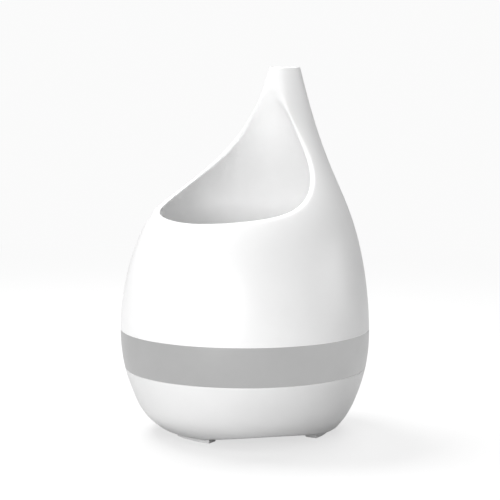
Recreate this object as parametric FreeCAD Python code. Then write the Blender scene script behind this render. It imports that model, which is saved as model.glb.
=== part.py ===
import FreeCAD, Part
import math
import os

# Cool mist humidifier with a teardrop body, in millimetres.
# +Z is up, -Y is the front that the scoop opens towards, and the table is z = 0.
# Everything visible is cut from one outer form: a stack of circles whose
# centres lean towards the back as the body narrows into its neck.

Vec = FreeCAD.Vector
UP = Vec(0, 0, 1)
BACK = Vec(0, 1, 0)
SIDE = Vec(1, 0, 0)

# Outer form: height, radius, and how far back the circle's centre sits.
FORM = [
    (1.0, 57.7, 6.1),
    (10.0, 66.9, 2.6),
    (26.0, 76.1, 1.0),
    (48.0, 82.8, 0.4),
    (73.0, 84.7, 0.0),
    (100.0, 82.4, 0.7),
    (128.0, 76.2, 2.9),
    (154.0, 64.7, 8.6),
    (178.0, 46.7, 21.2),
    (202.0, 28.4, 36.3),
    (224.0, 17.7, 42.8),
    (248.0, 10.7, 44.0),
]

# Inside of the scoop: the same wall as the form low down, and a slope that
# comes forward to meet the front of the neck higher up.
BOWL = [
    (110.0, 76.9, 1.2),
    (128.0, 72.5, 2.9),
    (148.0, 64.2, 6.8),
    (162.0, 55.3, 11.0),
    (182.0, 39.6, 15.4),
    (202.0, 25.8, 17.5),
    (218.0, 15.6, 19.9),
    (234.0, 9.2, 20.4),
    (254.0, 7.0, 20.0),
]

# Rim of the scoop seen from the side: distance back, height.
RIM = [
    (-104.0, 124.0),
    (-81.0, 140.0),
    (-63.0, 147.0),
    (-25.3, 154.0),
    (-0.4, 164.0),
    (15.1, 176.0),
    (25.3, 190.0),
    (29.2, 204.0),
    (30.1, 220.0),
    (30.1, 238.0),
    (29.0, 256.0),
]

TOP = 248.0
BAND_TOP = 71.6
BAND_BOTTOM = 45.3
SEAM = 0.1

# Cover
SHELL_WALL = 2.0
NECK_SOLID_Z = 217.0
LINER_WALL = 1.4
FLOOR_ROUND = 20.0
NECK_CHAMFER = 0.8
PORT_Y = 5.0
PORT_R = 13.0
NOZZLE_R = 12.7
NOZZLE_BORE_R = 10.5
NOZZLE_BOTTOM = 94.0
NOZZLE_FLANGE_R = 17.0
NOZZLE_FLANGE_H = 1.6
SKIRT_OUT_R = 76.3
SKIRT_IN_R = 74.5
SKIRT_BOTTOM = 62.0
SKIRT_FLANGE_Z = 80.6
SKIRT_FLANGE_H = 2.0

# Lower shell, with its foot ring turned a little from the scoop's direction
BASE_WALL = 2.2
BASE_BOTTOM = 4.0
ARCH_TOP = 8.6
ARCH_R = 190.0
FEET_TURN = -9.0
FOOT_CENTRE_Y = 5.5
FOOT_OUT_R = 55.0
FOOT_IN_R = 45.0
FOOT_HALF_ANGLE = 18.0
PAD_H = 1.2
PAD_INSET = 0.7
PLATE_BOTTOM = 10.0
PLATE_TOP = 12.5
PLATE_GAP = 2.6
SLOT_COUNT = 11
SLOT_W = 2.6
SLOT_LENGTH = 22.0
SLOT_PITCH = 5.0
BASE_POSTS = [(-42, -34, 41.9), (42, -34, 41.9), (-24, 54, 25.0), (33, 47, 41.9)]
POST_R = 4.0
POST_TOP = 25.0
RIB_W = 2.0

# Light band and water basin
BAND_WALL = 2.4
BAND_LIP_BOTTOM = 42.6
BAND_LEDGE_Z = 67.6
BAND_LEDGE_H = 1.8
BASIN_OUT_R = 79.0
BASIN_WALL = 2.0
BASIN_BOTTOM = 50.0
BASIN_FLOOR_H = 2.4
BASIN_TOP = 80.0
BASIN_FLANGE_Z = 70.4
BASIN_FLANGE_TOP = 71.4
FAN_Y = 30.0
STANDPIPE_OUT_R = 12.5
STANDPIPE_IN_R = 10.8
STANDPIPE_TOP = 90.0

# Water level float on its post
FLOAT_X = -48.0
FLOAT_Y = 8.0
FLOAT_POST_R = 3.0
FLOAT_OUT_R = 10.0
FLOAT_BORE_R = 3.6
FLOAT_H = 9.0
FLOAT_REST_Z = 53.2
FLOAT_CLIP_Z = 70.0
FLOAT_CLIP_R = 6.0
FLOAT_CLIP_H = 1.6
REED_R = 1.2
REED_POCKET_R = 1.6

# Mist maker under the basin floor
MIST_Y = -28.0
MIST_HOLE_R = 8.2
DISC_R = 12.0
SEAL_OUT_R = 12.6
CLAMP_OUT_R = 18.0
CLAMP_BORE_R = 7.0
CLAMP_SCREW_R = 15.5
SEAL_Z = 48.5
DISC_Z = 47.5
CLAMP_Z = 45.5

# Fan under the standpipe
FAN_SIZE = 40.0
FAN_Z = 14.0
FAN_H = 10.0
FAN_BORE_R = 18.3
FAN_SCREW = 16.0
ROTOR_TIP_R = 17.6
ROTOR_Z = 15.4
ROTOR_H = 7.6
HUB_R = 9.0
HUB_IN_R = 7.9
STATOR_R = 7.3
SHAFT_R = 1.0
SHAFT_FIT = 0.05
BLADE_COUNT = 7
BLADE_PITCH = 38.0
BLADE_T = 1.2
DUCT_WALL = 1.5
DUCT_LOW_R = 19.2
DUCT_HIGH_R = 13.8

# Boards, controls and inlet
BOARD_T = 1.6
BOARD_X = 32.0
BOARD_FRONT = -46.0
BOARD_BACK = -8.0
BOARD_Z = 18.0
BOARD_INSET = 4.0
LED_COUNT = 18
LED_RING_IN_R = 64.0
LED_RING_OUT_R = 74.5
LED_RING_Z = 42.0
LED_R = 70.0
BUTTON_X = 22.0
BUTTON_Z = 34.0
BUTTON_R = 5.5
BUTTON_HOLE_R = 5.8
BUTTON_PROUD = 0.8
BUTTON_FLANGE_R = 7.0
BUTTON_FLANGE_Y = 64.8
BUTTON_FLANGE_H = 1.2
CONTROL_BOARD_Y = 58.0
JACK_Z = 22.0
JACK_HOLE_R = 5.2
JACK_NOSE_R = 4.9
JACK_BORE_R = 3.15
JACK_BACK = 57.0
JACK_FACE = 68.6
JACK_PIN_R = 1.0
JACK_PIN_TIP = 67.5


def save(shape, node):
    """Write one node as a STEP file."""
    os.makedirs("parts", exist_ok=True)
    shape.exportStep("parts/%s.step" % node)


def rod(radius, height, base, axis=UP):
    """Solid cylinder starting at base and running along axis."""
    return Part.makeCylinder(radius, height, base, axis)


def tube(outer, inner, height, base, axis=UP):
    """Hollow cylinder, open at both ends."""
    start = base - axis
    return rod(outer, height, base, axis).cut(rod(inner, height + 2, start, axis))


def block(x, y, z):
    """Box from three (low, high) pairs."""
    size = (x[1] - x[0], y[1] - y[0], z[1] - z[0])
    return Part.makeBox(*size, Vec(x[0], y[0], z[0]))


def slab(shape, low, high):
    """The part of a shape between two heights."""
    return shape.common(block((-150, 150), (-150, 150), (low, high)))


def stack(sections, grow=0.0, lower=0.0):
    """Smooth solid through circles given as height, radius and centre."""
    wires = []
    for number, (z, radius, centre) in enumerate(sections):
        drop = lower if number == 0 else 0.0
        circle = Part.makeCircle(radius + grow, Vec(0, centre, z - drop))
        wires.append(Part.Wire(circle))
    return Part.makeLoft(wires, True, False)


def form(inset=0.0):
    """Outer form, or a copy of it with every radius made smaller."""
    return stack(FORM, -inset)


def low_edges(shape):
    """Edges that lie flat on the shape's lowest plane."""
    low = shape.BoundBox.ZMin
    return [edge for edge in shape.Edges if edge.BoundBox.ZMax < low + 0.5]


def around(count, radius, centre_y=0.0, start=0.0):
    """Points evenly spaced on a circle, as (x, y, degrees)."""
    points = []
    for number in range(count):
        degrees = start + 360.0 * number / count
        angle = math.radians(degrees)
        x = radius * math.cos(angle)
        y = centre_y + radius * math.sin(angle)
        points.append((x, y, degrees))
    return points


def group(shapes):
    """Several separate solids kept as one node."""
    return Part.makeCompound(shapes)


def fuse(shapes):
    """One solid from shapes that touch or cross."""
    first = shapes[0]
    return first.multiFuse(shapes[1:]).removeSplitter()


def screw(x, y, seat, length, shank_r, head_r, head_h, drive=1):
    """Pan-head screw: seat is the height under its head, drive +1 enters upwards."""
    axis = Vec(0, 0, drive)
    seat_point = Vec(x, y, seat)
    shank = rod(shank_r, length, seat_point, axis)
    head = rod(head_r, head_h, seat_point - axis * head_h, axis)
    outside = seat - drive * head_h
    inside = outside + drive * head_h * 0.55
    low, high = sorted((outside - drive * 0.1, inside))
    arm = head_r * 0.6
    slot_x = block((x - arm, x + arm), (y - 0.35, y + 0.35), (low, high))
    slot_y = block((x - 0.35, x + 0.35), (y - arm, y + arm), (low, high))
    return fuse([shank, head]).cut(slot_x).cut(slot_y)


def lead(points, radius):
    """Insulated wire through a list of points."""
    curve = Part.BSplineCurve()
    curve.interpolate([Vec(*point) for point in points])
    path = Part.Wire(curve.toShape())
    start = Vec(*points[0])
    ring = Part.makeCircle(radius, start, curve.tangent(curve.FirstParameter)[0])
    return path.makePipeShell([Part.Wire(ring)], True, True)


def above_rim():
    """Everything in front of and above the scoop's rim."""
    curve = Part.BSplineCurve()
    curve.interpolate([Vec(-120, y, z) for y, z in RIM])
    first, last = RIM[0], RIM[-1]
    ends = [Vec(-120, last[0], last[1]), Vec(-120, -140, last[1])]
    ends += [Vec(-120, -140, first[1]), Vec(-120, first[0], first[1])]
    outline = Part.Wire([curve.toShape()] + Part.makePolygon(ends).Edges)
    return Part.Face(outline).extrude(Vec(240, 0, 0))


def bowl_space(grow=0.0):
    """Hollow of the scoop with a rounded floor."""
    space = stack(BOWL, grow, grow)
    return space.makeFillet(FLOOR_ROUND + grow, low_edges(space))


def neck_edge():
    """Ring that bevels the top edge of the neck."""
    _, radius, centre = FORM[-1]
    foot = Vec(0, centre, TOP - 4)
    ring = rod(radius + 20, 6, foot)
    cone = Part.makeCone(radius - NECK_CHAMFER + 4, radius - NECK_CHAMFER - 2, 6, foot)
    return ring.cut(cone)


def cover_shell(outer, bowl, cut_away):
    """Outer skin of the lift-off cover, solid in the upper neck."""
    hollow = slab(form(SHELL_WALL), BAND_TOP - 5, NECK_SOLID_Z)
    skin = outer.cut(cut_away).cut(bowl).cut(hollow)
    skin = slab(skin, BAND_TOP + SEAM, TOP + 1)
    return skin.cut(neck_edge())


def scoop_liner(bowl, cut_away):
    """Inner moulding that forms the scoop's smooth bowl."""
    skin = bowl_space(LINER_WALL).cut(bowl).cut(cut_away)
    skin = slab(skin, 100, NECK_SOLID_Z)
    return skin.cut(rod(PORT_R, 20, Vec(0, PORT_Y, 98)))


def mist_nozzle():
    """Flanged tube that lets the mist up through the bowl's floor."""
    floor = BOWL[0][0]
    axis_foot = Vec(0, PORT_Y, NOZZLE_BOTTOM)
    body = rod(NOZZLE_R, floor - NOZZLE_BOTTOM, axis_foot)
    flange = rod(NOZZLE_FLANGE_R, NOZZLE_FLANGE_H, Vec(0, PORT_Y, floor))
    bore = rod(NOZZLE_BORE_R, 40, Vec(0, PORT_Y, NOZZLE_BOTTOM - 5))
    return fuse([body, flange]).cut(bore)


def cover_ring():
    """Skirt that centres the cover in the basin and returns drips to it."""
    flange_top = SKIRT_FLANGE_Z + SKIRT_FLANGE_H
    height = flange_top - SKIRT_BOTTOM
    skirt = tube(SKIRT_OUT_R, SKIRT_IN_R, height, Vec(0, 0, SKIRT_BOTTOM))
    wide = tube(90, SKIRT_IN_R, SKIRT_FLANGE_H, Vec(0, 0, SKIRT_FLANGE_Z))
    return fuse([skirt, wide.common(form(SHELL_WALL))])


def arch(degrees):
    """Round bar that raises the lower edge between two feet."""
    angle = math.radians(degrees)
    outward = Vec(math.sin(angle), -math.cos(angle), 0)
    start = Vec(0, FOOT_CENTRE_Y, ARCH_TOP - ARCH_R) + outward * 20
    return rod(ARCH_R, 80, start, outward)


def base_rib(x, y, top):
    """Upright rib from a screw post out to the wall."""
    low = PLATE_TOP + 0.3
    rib = block((0, 60), (-RIB_W / 2, RIB_W / 2), (low, top))
    rib = rib.cut(block((-1, 12), (-5, 5), (POST_TOP, top + 1)))
    rib.rotate(Vec(0, 0, 0), UP, math.degrees(math.atan2(y, x)))
    rib.translate(Vec(x, y, 0))
    return rib.common(form(BASE_WALL / 2))


def base_shell(outer):
    """White lower shell with an arched edge, screw posts and control holes."""
    parts = [slab(outer, BASE_BOTTOM, BAND_BOTTOM).cut(form(BASE_WALL))]
    low = PLATE_TOP + 0.3
    for x, y, rib_top in BASE_POSTS:
        parts.append(rod(POST_R, POST_TOP - low, Vec(x, y, low)))
        parts.append(base_rib(x, y, rib_top))
    shell = fuse(parts)
    for step in range(3):
        shell = shell.cut(arch(FEET_TURN + 60 + 120 * step))
    for x, y, _ in BASE_POSTS:
        shell = shell.cut(rod(1.55, 12, Vec(x, y, PLATE_TOP)))
    for x in (-BUTTON_X, BUTTON_X):
        shell = shell.cut(rod(BUTTON_HOLE_R, 40, Vec(x, 60, BUTTON_Z), BACK))
    return shell.cut(rod(JACK_HOLE_R, 40, Vec(0, 60, JACK_Z), BACK))


def sector(inner, outer, low, high, degrees, half_angle):
    """Arc of a ring around the foot centre, facing a direction from the front."""
    ring = tube(outer, inner, high - low, Vec(0, FOOT_CENTRE_Y, low))
    reach = outer * 1.5
    spread = reach * math.tan(math.radians(half_angle))
    centre = Vec(0, FOOT_CENTRE_Y, low - 1)
    corners = [centre, centre + Vec(spread, -reach, 0), centre + Vec(-spread, -reach, 0), centre]
    wedge = Part.Face(Part.makePolygon(corners)).extrude(Vec(0, 0, high - low + 2))
    wedge.rotate(centre, UP, degrees)
    return ring.common(wedge)


def feet(inset, low, high):
    """The three arc-shaped feet, or their pads when inset."""
    arcs = []
    for step in range(3):
        facing = FEET_TURN + 120 * step
        angle = FOOT_HALF_ANGLE - inset
        arcs.append(sector(FOOT_IN_R + inset, FOOT_OUT_R - inset, low, high, facing, angle))
    return arcs


def air_slots():
    """Rows of slots that let air in under the fan."""
    slots = []
    for number in range(SLOT_COUNT):
        x = (number - (SLOT_COUNT - 1) / 2) * SLOT_PITCH
        side = (x - SLOT_W / 2, x + SLOT_W / 2)
        along = (FAN_Y - SLOT_LENGTH / 2, FAN_Y + SLOT_LENGTH / 2)
        slots.append(block(side, along, (PLATE_BOTTOM - 1, PLATE_TOP + 1)))
    return slots


def bottom_cover():
    """Plate that closes the base, with its feet, air slots and posts."""
    plate = slab(form(PLATE_GAP), PLATE_BOTTOM, PLATE_TOP)
    parts = [plate] + feet(0.0, PAD_H, PLATE_BOTTOM)
    for x, y in board_corners():
        parts.append(rod(3.0, BOARD_Z - PLATE_TOP, Vec(x, y, PLATE_TOP)))
    for x, y in fan_corners():
        parts.append(rod(3.0, FAN_Z - PLATE_TOP, Vec(x, y, PLATE_TOP)))
    cover = fuse(parts)
    for x, y, _ in BASE_POSTS:
        cover = cover.cut(rod(1.8, 6, Vec(x, y, PLATE_BOTTOM - 1)))
    for x, y in board_corners() + fan_corners():
        cover = cover.cut(rod(1.3, 12, Vec(x, y, PLATE_BOTTOM + 1)))
    return cover.cut(group(air_slots()))


def light_band(outer):
    """Translucent ring between cover and lower shell."""
    parts = [slab(outer, BAND_BOTTOM, BAND_TOP).cut(form(BAND_WALL))]
    lip = form(BAND_WALL).cut(form(BAND_WALL + 1.6))
    parts.append(slab(lip, BAND_LIP_BOTTOM, BAND_BOTTOM + 2))
    ledge = form(BAND_WALL).cut(rod(BASIN_OUT_R + 0.3, 60, Vec(0, 0, 30)))
    parts.append(slab(ledge, BAND_LEDGE_Z, BAND_LEDGE_Z + BAND_LEDGE_H))
    return fuse(parts)


def reservoir():
    """Water basin with an air standpipe and a hollow post for the float."""
    floor_top = BASIN_BOTTOM + BASIN_FLOOR_H
    body = rod(BASIN_OUT_R, BASIN_TOP - BASIN_BOTTOM, Vec(0, 0, BASIN_BOTTOM))
    body = body.cut(rod(BASIN_OUT_R - BASIN_WALL, 40, Vec(0, 0, floor_top)))
    rim = slab(form(BAND_WALL + 0.3), BASIN_FLANGE_Z, BASIN_FLANGE_TOP)
    rim = rim.cut(rod(BASIN_OUT_R - 1, 40, Vec(0, 0, BASIN_BOTTOM)))
    pipe = rod(STANDPIPE_OUT_R, STANDPIPE_TOP - floor_top, Vec(0, FAN_Y, floor_top))
    post_foot = Vec(FLOAT_X, FLOAT_Y, floor_top)
    post = rod(FLOAT_POST_R, FLOAT_CLIP_Z - floor_top, post_foot)
    bosses = []
    for x, y, _ in clamp_points():
        bosses.append(rod(2.6, BASIN_BOTTOM - DISC_Z, Vec(x, y, DISC_Z)))
    basin = fuse([body, rim, pipe, post] + bosses)
    basin = basin.cut(rod(STANDPIPE_IN_R, 60, Vec(0, FAN_Y, BASIN_BOTTOM - 5)))
    basin = basin.cut(rod(MIST_HOLE_R, 10, Vec(0, MIST_Y, BASIN_BOTTOM - 5)))
    for x, y, _ in clamp_points():
        basin = basin.cut(rod(1.05, 4, Vec(x, y, DISC_Z - 0.5)))
    pocket_foot = Vec(FLOAT_X, FLOAT_Y, BASIN_BOTTOM - 1)
    return basin.cut(rod(REED_POCKET_R, 15, pocket_foot))


def reservoir_seal():
    """Flat gasket between the basin's flange and the band's ledge."""
    low = BAND_LEDGE_Z + BAND_LEDGE_H
    return tube(81.0, BASIN_OUT_R + 0.4, BASIN_FLANGE_Z - low, Vec(0, 0, low))


def clamp_points():
    """Three screw positions around the mist maker."""
    return around(3, CLAMP_SCREW_R, MIST_Y, 90)


def mist_maker():
    """Disc, seal, clamp ring and screws of the mist maker."""
    seal = tube(SEAL_OUT_R, MIST_HOLE_R, BASIN_BOTTOM - SEAL_Z, Vec(0, MIST_Y, SEAL_Z))
    disc = rod(DISC_R, SEAL_Z - DISC_Z, Vec(0, MIST_Y, DISC_Z))
    clamp = tube(CLAMP_OUT_R, CLAMP_BORE_R, DISC_Z - CLAMP_Z, Vec(0, MIST_Y, CLAMP_Z))
    screws = []
    for x, y, _ in clamp_points():
        clamp = clamp.cut(rod(1.2, 8, Vec(x, y, CLAMP_Z - 2)))
        screws.append(screw(x, y, CLAMP_Z, 5.0, 1.0, 2.1, 1.4))
    save(seal, "transducer_seal")
    save(disc, "transducer_disc")
    save(clamp, "transducer_clamp")
    save(group(screws), "transducer_screws")


def fan_corners():
    """Screw positions of the fan."""
    sides = (-FAN_SCREW, FAN_SCREW)
    return [(x, FAN_Y + y) for x in sides for y in sides]


def fan_housing():
    """Square frame with a round duct and three arms that hold the motor."""
    half = FAN_SIZE / 2
    frame = block((-half, half), (FAN_Y - half, FAN_Y + half), (FAN_Z, FAN_Z + FAN_H))
    corners = [edge for edge in frame.Edges if edge.BoundBox.ZLength > FAN_H - 1]
    frame = frame.makeFillet(3.0, corners)
    frame = frame.cut(rod(FAN_BORE_R, 20, Vec(0, FAN_Y, FAN_Z - 5)))
    parts = [frame, rod(HUB_R, 0.9, Vec(0, FAN_Y, FAN_Z))]
    for _, _, degrees in around(3, 1):
        arm = block((HUB_R - 1, FAN_BORE_R + 0.8), (-1, 1), (FAN_Z, FAN_Z + 0.9))
        arm.rotate(Vec(0, 0, 0), UP, degrees)
        arm.translate(Vec(0, FAN_Y, 0))
        parts.append(arm)
    housing = fuse(parts)
    for x, y in fan_corners():
        housing = housing.cut(rod(1.7, 20, Vec(x, y, FAN_Z - 5)))
    return housing


def fan_stator():
    """Wound core with the bearing that carries the rotor's shaft."""
    low = FAN_Z + 0.9
    bore = SHAFT_R + SHAFT_FIT
    core = tube(STATOR_R, bore, 5.6, Vec(0, FAN_Y, low))
    grooves = []
    for x, y, _ in around(4, STATOR_R - 0.4, FAN_Y, 45):
        grooves.append(rod(1.1, 10, Vec(x, y, low - 1)))
    return core.cut(group(grooves))


def fan_blade(degrees):
    """One pitched blade reaching from the hub to the tip circle."""
    blade = block((HUB_R - 0.6, ROTOR_TIP_R + 2), (-BLADE_T / 2, BLADE_T / 2), (-4.6, 4.6))
    blade.rotate(Vec(0, 0, 0), SIDE, 90 - BLADE_PITCH)
    blade.translate(Vec(0, 0, ROTOR_Z + ROTOR_H / 2))
    sweep = rod(ROTOR_TIP_R, ROTOR_H, Vec(0, 0, ROTOR_Z))
    blade = blade.common(sweep)
    blade.rotate(Vec(0, 0, 0), UP, degrees)
    blade.translate(Vec(0, FAN_Y, 0))
    return blade


def fan_rotor():
    """Cup-shaped hub with pitched blades and a shaft."""
    cup = rod(HUB_R, ROTOR_H, Vec(0, FAN_Y, ROTOR_Z))
    cup = cup.cut(rod(HUB_IN_R, ROTOR_H - 1.2, Vec(0, FAN_Y, ROTOR_Z)))
    shaft = rod(SHAFT_R, ROTOR_H - 0.4, Vec(0, FAN_Y, ROTOR_Z))
    blades = [fan_blade(degrees) for _, _, degrees in around(BLADE_COUNT, 1)]
    return fuse([cup, shaft] + blades)


def air_duct():
    """Tapered duct from the fan up to the standpipe."""
    low = FAN_Z + FAN_H
    high = BASIN_BOTTOM
    foot = Vec(0, FAN_Y, low)
    outer = Part.makeCone(DUCT_LOW_R, DUCT_HIGH_R, high - low, foot)
    inner = Part.makeCone(DUCT_LOW_R - DUCT_WALL, DUCT_HIGH_R - DUCT_WALL, high - low, foot)
    return outer.cut(inner)


def board_corners():
    """Screw positions of the driver board."""
    sides = (BOARD_INSET - BOARD_X, BOARD_X - BOARD_INSET)
    ends = (BOARD_FRONT + BOARD_INSET, BOARD_BACK - BOARD_INSET)
    return [(x, y) for x in sides for y in ends]


def driver_board():
    """Main circuit board on four posts."""
    top = BOARD_Z + BOARD_T
    board = block((-BOARD_X, BOARD_X), (BOARD_FRONT, BOARD_BACK), (BOARD_Z, top))
    for x, y in board_corners():
        board = board.cut(rod(1.5, 5, Vec(x, y, BOARD_Z - 2)))
    return board


def board_components():
    """Coil, capacitors, chip and sockets standing on the driver board."""
    top = BOARD_Z + BOARD_T
    parts = [block((2, 12), (-30, -20), (top, top + 2.0))]
    parts.append(block((14, 28), (-24, -18), (top, top + 5.0)))
    parts.append(tube(6.0, 2.5, 6.0, Vec(20, -33, top)))
    for x in (-19, -10.5):
        parts.append(rod(3.5, 9.0, Vec(x, -15, top)))
    parts.append(block((-6, 6), (-16, -11), (top, top + 5.0)))
    return group(parts)


def heat_sink():
    """Finned block on the driver transistor."""
    top = BOARD_Z + BOARD_T
    parts = [block((-27, -5), (-39, -22), (top, top + 2.0))]
    for number in range(5):
        x = -27 + number * 5.1
        parts.append(block((x, x + 1.6), (-39, -22), (top + 2.0, top + 12.0)))
    return fuse(parts)


def led_board():
    """Ring board that carries the band's lights."""
    ring = tube(LED_RING_OUT_R, LED_RING_IN_R, BOARD_T, Vec(0, 0, LED_RING_Z))
    return ring.cut(block((-6, 6), (-80, -60), (40, 50)))


def leds():
    """Lights on the ring board, each turned to face outwards."""
    lamps = []
    top = LED_RING_Z + BOARD_T
    start = -90 + 180.0 / LED_COUNT
    for x, y, degrees in around(LED_COUNT, LED_R, 0, start):
        lamp = block((-1.75, 1.75), (-1.4, 1.4), (top, top + 1.9))
        lamp.rotate(Vec(0, 0, 0), UP, degrees + 90)
        lamp.translate(Vec(x, y, 0))
        lamps.append(lamp)
    return group(lamps)


def button(x, outer_proud):
    """Push button with a retaining flange behind the wall."""
    stem_y = BUTTON_FLANGE_Y
    stem = rod(BUTTON_R, 40, Vec(x, stem_y, BUTTON_Z), BACK).common(outer_proud)
    flange = rod(BUTTON_FLANGE_R, BUTTON_FLANGE_H, Vec(x, stem_y, BUTTON_Z), BACK)
    return fuse([stem, flange])


def button_board():
    """Upright board behind the two buttons."""
    back = (CONTROL_BOARD_Y, CONTROL_BOARD_Y + BOARD_T)
    return block((-32, 32), back, (BUTTON_Z - 6, BUTTON_Z + 7))


def button_switches():
    """Two tactile switches that the buttons press on."""
    parts = []
    face = CONTROL_BOARD_Y + BOARD_T
    for x in (-BUTTON_X, BUTTON_X):
        body = block((x - 3, x + 3), (face, face + 3.2), (BUTTON_Z - 3, BUTTON_Z + 3))
        cap = rod(1.6, 0.8, Vec(x, face + 3.2, BUTTON_Z), BACK)
        parts.append(fuse([body, cap]))
    return group(parts)


def dc_jack(outer):
    """Round low-voltage inlet with its centre pin set back."""
    body = block((-5, 5), (JACK_BACK, JACK_FACE), (JACK_Z - 5.5, JACK_Z + 5.5))
    nose = rod(JACK_NOSE_R, 12, Vec(0, JACK_FACE - 1, JACK_Z), BACK)
    nose = nose.common(form(0.4))
    jack = fuse([body, nose])
    jack = jack.cut(rod(JACK_BORE_R, 30, Vec(0, JACK_BACK + 3, JACK_Z), BACK))
    pin_length = JACK_PIN_TIP - JACK_BACK - 1
    pin = rod(JACK_PIN_R, pin_length, Vec(0, JACK_BACK + 1, JACK_Z), BACK)
    return fuse([jack, pin])


def float_parts():
    """Float, its magnet, the clip above it and the sensor inside its post."""
    foot = Vec(FLOAT_X, FLOAT_Y, FLOAT_REST_Z)
    lift = Vec(0, 0, 3)
    body = tube(FLOAT_OUT_R, FLOAT_BORE_R, FLOAT_H, foot)
    pocket = tube(6.2, FLOAT_BORE_R + 0.6, 3.0, foot + lift)
    save(body.cut(pocket), "float_ring")
    save(tube(6.2, FLOAT_BORE_R + 0.6, 3.0, foot + lift), "float_magnet")
    clip = rod(FLOAT_CLIP_R, FLOAT_CLIP_H, Vec(FLOAT_X, FLOAT_Y, FLOAT_CLIP_Z))
    save(clip, "float_clip")
    save(rod(REED_R, 13.0, Vec(FLOAT_X, FLOAT_Y, BASIN_BOTTOM - 0.5)), "level_sensor")


def fasteners():
    """Screws of the bottom cover, the driver board and the fan."""
    base = [screw(x, y, PLATE_BOTTOM, 13.0, 1.5, 2.9, 1.7) for x, y, _ in BASE_POSTS]
    board_top = BOARD_Z + BOARD_T
    board = [screw(x, y, board_top, 6.5, 1.2, 2.3, 1.5, -1) for x, y in board_corners()]
    fan_top = FAN_Z + FAN_H
    fan = [screw(x, y, fan_top, 12.0, 1.2, 2.3, 1.5, -1) for x, y in fan_corners()]
    save(group(base), "base_screws")
    save(group(board), "board_screws")
    save(group(fan), "fan_screws")


def leads():
    """Wires between the boards, the inlet and the mist maker."""
    board_top = BOARD_Z + BOARD_T
    inlet = [(2, 55.6, 20), (14, 55, 20), (25, 50, 21), (28, 30, 23), (27, 6, 25)]
    inlet.append((21, -15, board_top + 6.5))
    control = [(-24, 56.4, 36), (-29, 44, 36), (-30, 20, 33), (-24, 0, 31), (0, -8, 29)]
    control.append((0, -13.5, board_top + 6.2))
    mist = [(3, -26, 46.8), (4, -26, 43), (8, -25, 35), (8, -25, board_top + 3.4)]
    save(lead(inlet, 1.2), "power_lead")
    save(lead(control, 1.0), "control_lead")
    save(lead(mist, 0.9), "transducer_lead")


def build_cover(outer):
    """Lift-off cover."""
    bowl = bowl_space()
    cut_away = above_rim()
    save(cover_shell(outer, bowl, cut_away), "cover_shell")
    save(scoop_liner(bowl, cut_away), "scoop_liner")
    save(mist_nozzle(), "mist_nozzle")
    save(cover_ring(), "cover_ring")


def build_base(outer):
    """Lower body with the basin, the mist maker and the electronics."""
    save(base_shell(outer), "base_shell")
    save(bottom_cover(), "bottom_cover")
    save(group(feet(PAD_INSET, 0.0, PAD_H)), "foot_pads")
    save(light_band(outer), "light_band")
    save(reservoir(), "reservoir")
    save(reservoir_seal(), "reservoir_seal")
    mist_maker()
    save(fan_housing(), "fan_housing")
    save(fan_stator(), "fan_stator")
    save(air_duct(), "air_duct")
    save(driver_board(), "driver_board")
    save(board_components(), "board_components")
    save(heat_sink(), "heat_sink")
    save(led_board(), "led_board")
    save(leds(), "leds")
    save(button_board(), "button_board")
    save(button_switches(), "button_switches")
    save(dc_jack(outer), "dc_jack")
    fasteners()
    leads()


def build_moving_parts():
    """Fan rotor, float and the two buttons."""
    save(fan_rotor(), "fan_rotor")
    float_parts()
    proud = form(-BUTTON_PROUD)
    save(button(-BUTTON_X, proud), "mist_button")
    save(button(BUTTON_X, proud), "light_button")


def main():
    """Build and save every node."""
    outer = form()
    build_cover(outer)
    build_base(outer)
    build_moving_parts()


main()
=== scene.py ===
import logging
import math
from dataclasses import dataclass, field
from enum import Enum
from functools import reduce
from typing import Callable, Optional, Sequence

import bmesh
import bpy
import numpy as np
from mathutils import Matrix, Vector


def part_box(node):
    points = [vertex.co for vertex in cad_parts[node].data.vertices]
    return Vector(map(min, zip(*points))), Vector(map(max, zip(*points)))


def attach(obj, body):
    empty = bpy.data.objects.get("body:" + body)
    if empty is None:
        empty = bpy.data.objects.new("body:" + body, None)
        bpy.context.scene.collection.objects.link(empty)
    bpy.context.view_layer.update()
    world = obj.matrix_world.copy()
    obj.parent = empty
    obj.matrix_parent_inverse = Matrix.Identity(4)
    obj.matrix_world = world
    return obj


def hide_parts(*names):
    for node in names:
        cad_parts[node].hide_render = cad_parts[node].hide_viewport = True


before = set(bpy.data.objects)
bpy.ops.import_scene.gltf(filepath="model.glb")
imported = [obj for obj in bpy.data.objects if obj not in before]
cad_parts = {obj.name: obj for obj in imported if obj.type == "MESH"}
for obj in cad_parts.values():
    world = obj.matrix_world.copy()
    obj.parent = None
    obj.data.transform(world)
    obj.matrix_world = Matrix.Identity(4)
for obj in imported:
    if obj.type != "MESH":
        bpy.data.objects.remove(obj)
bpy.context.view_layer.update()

LOG = logging.getLogger("humidifier")
MM = 0.001
Point = tuple[float, float, float]
Grey = tuple[float, float, float, float]


class Gloss(Enum):
    """How polished a surface is, as a roughness."""

    POLISHED = 0.30
    SATIN = 0.34
    MATT = 0.50


# ---------------------------------------------------------------- shapes


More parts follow.
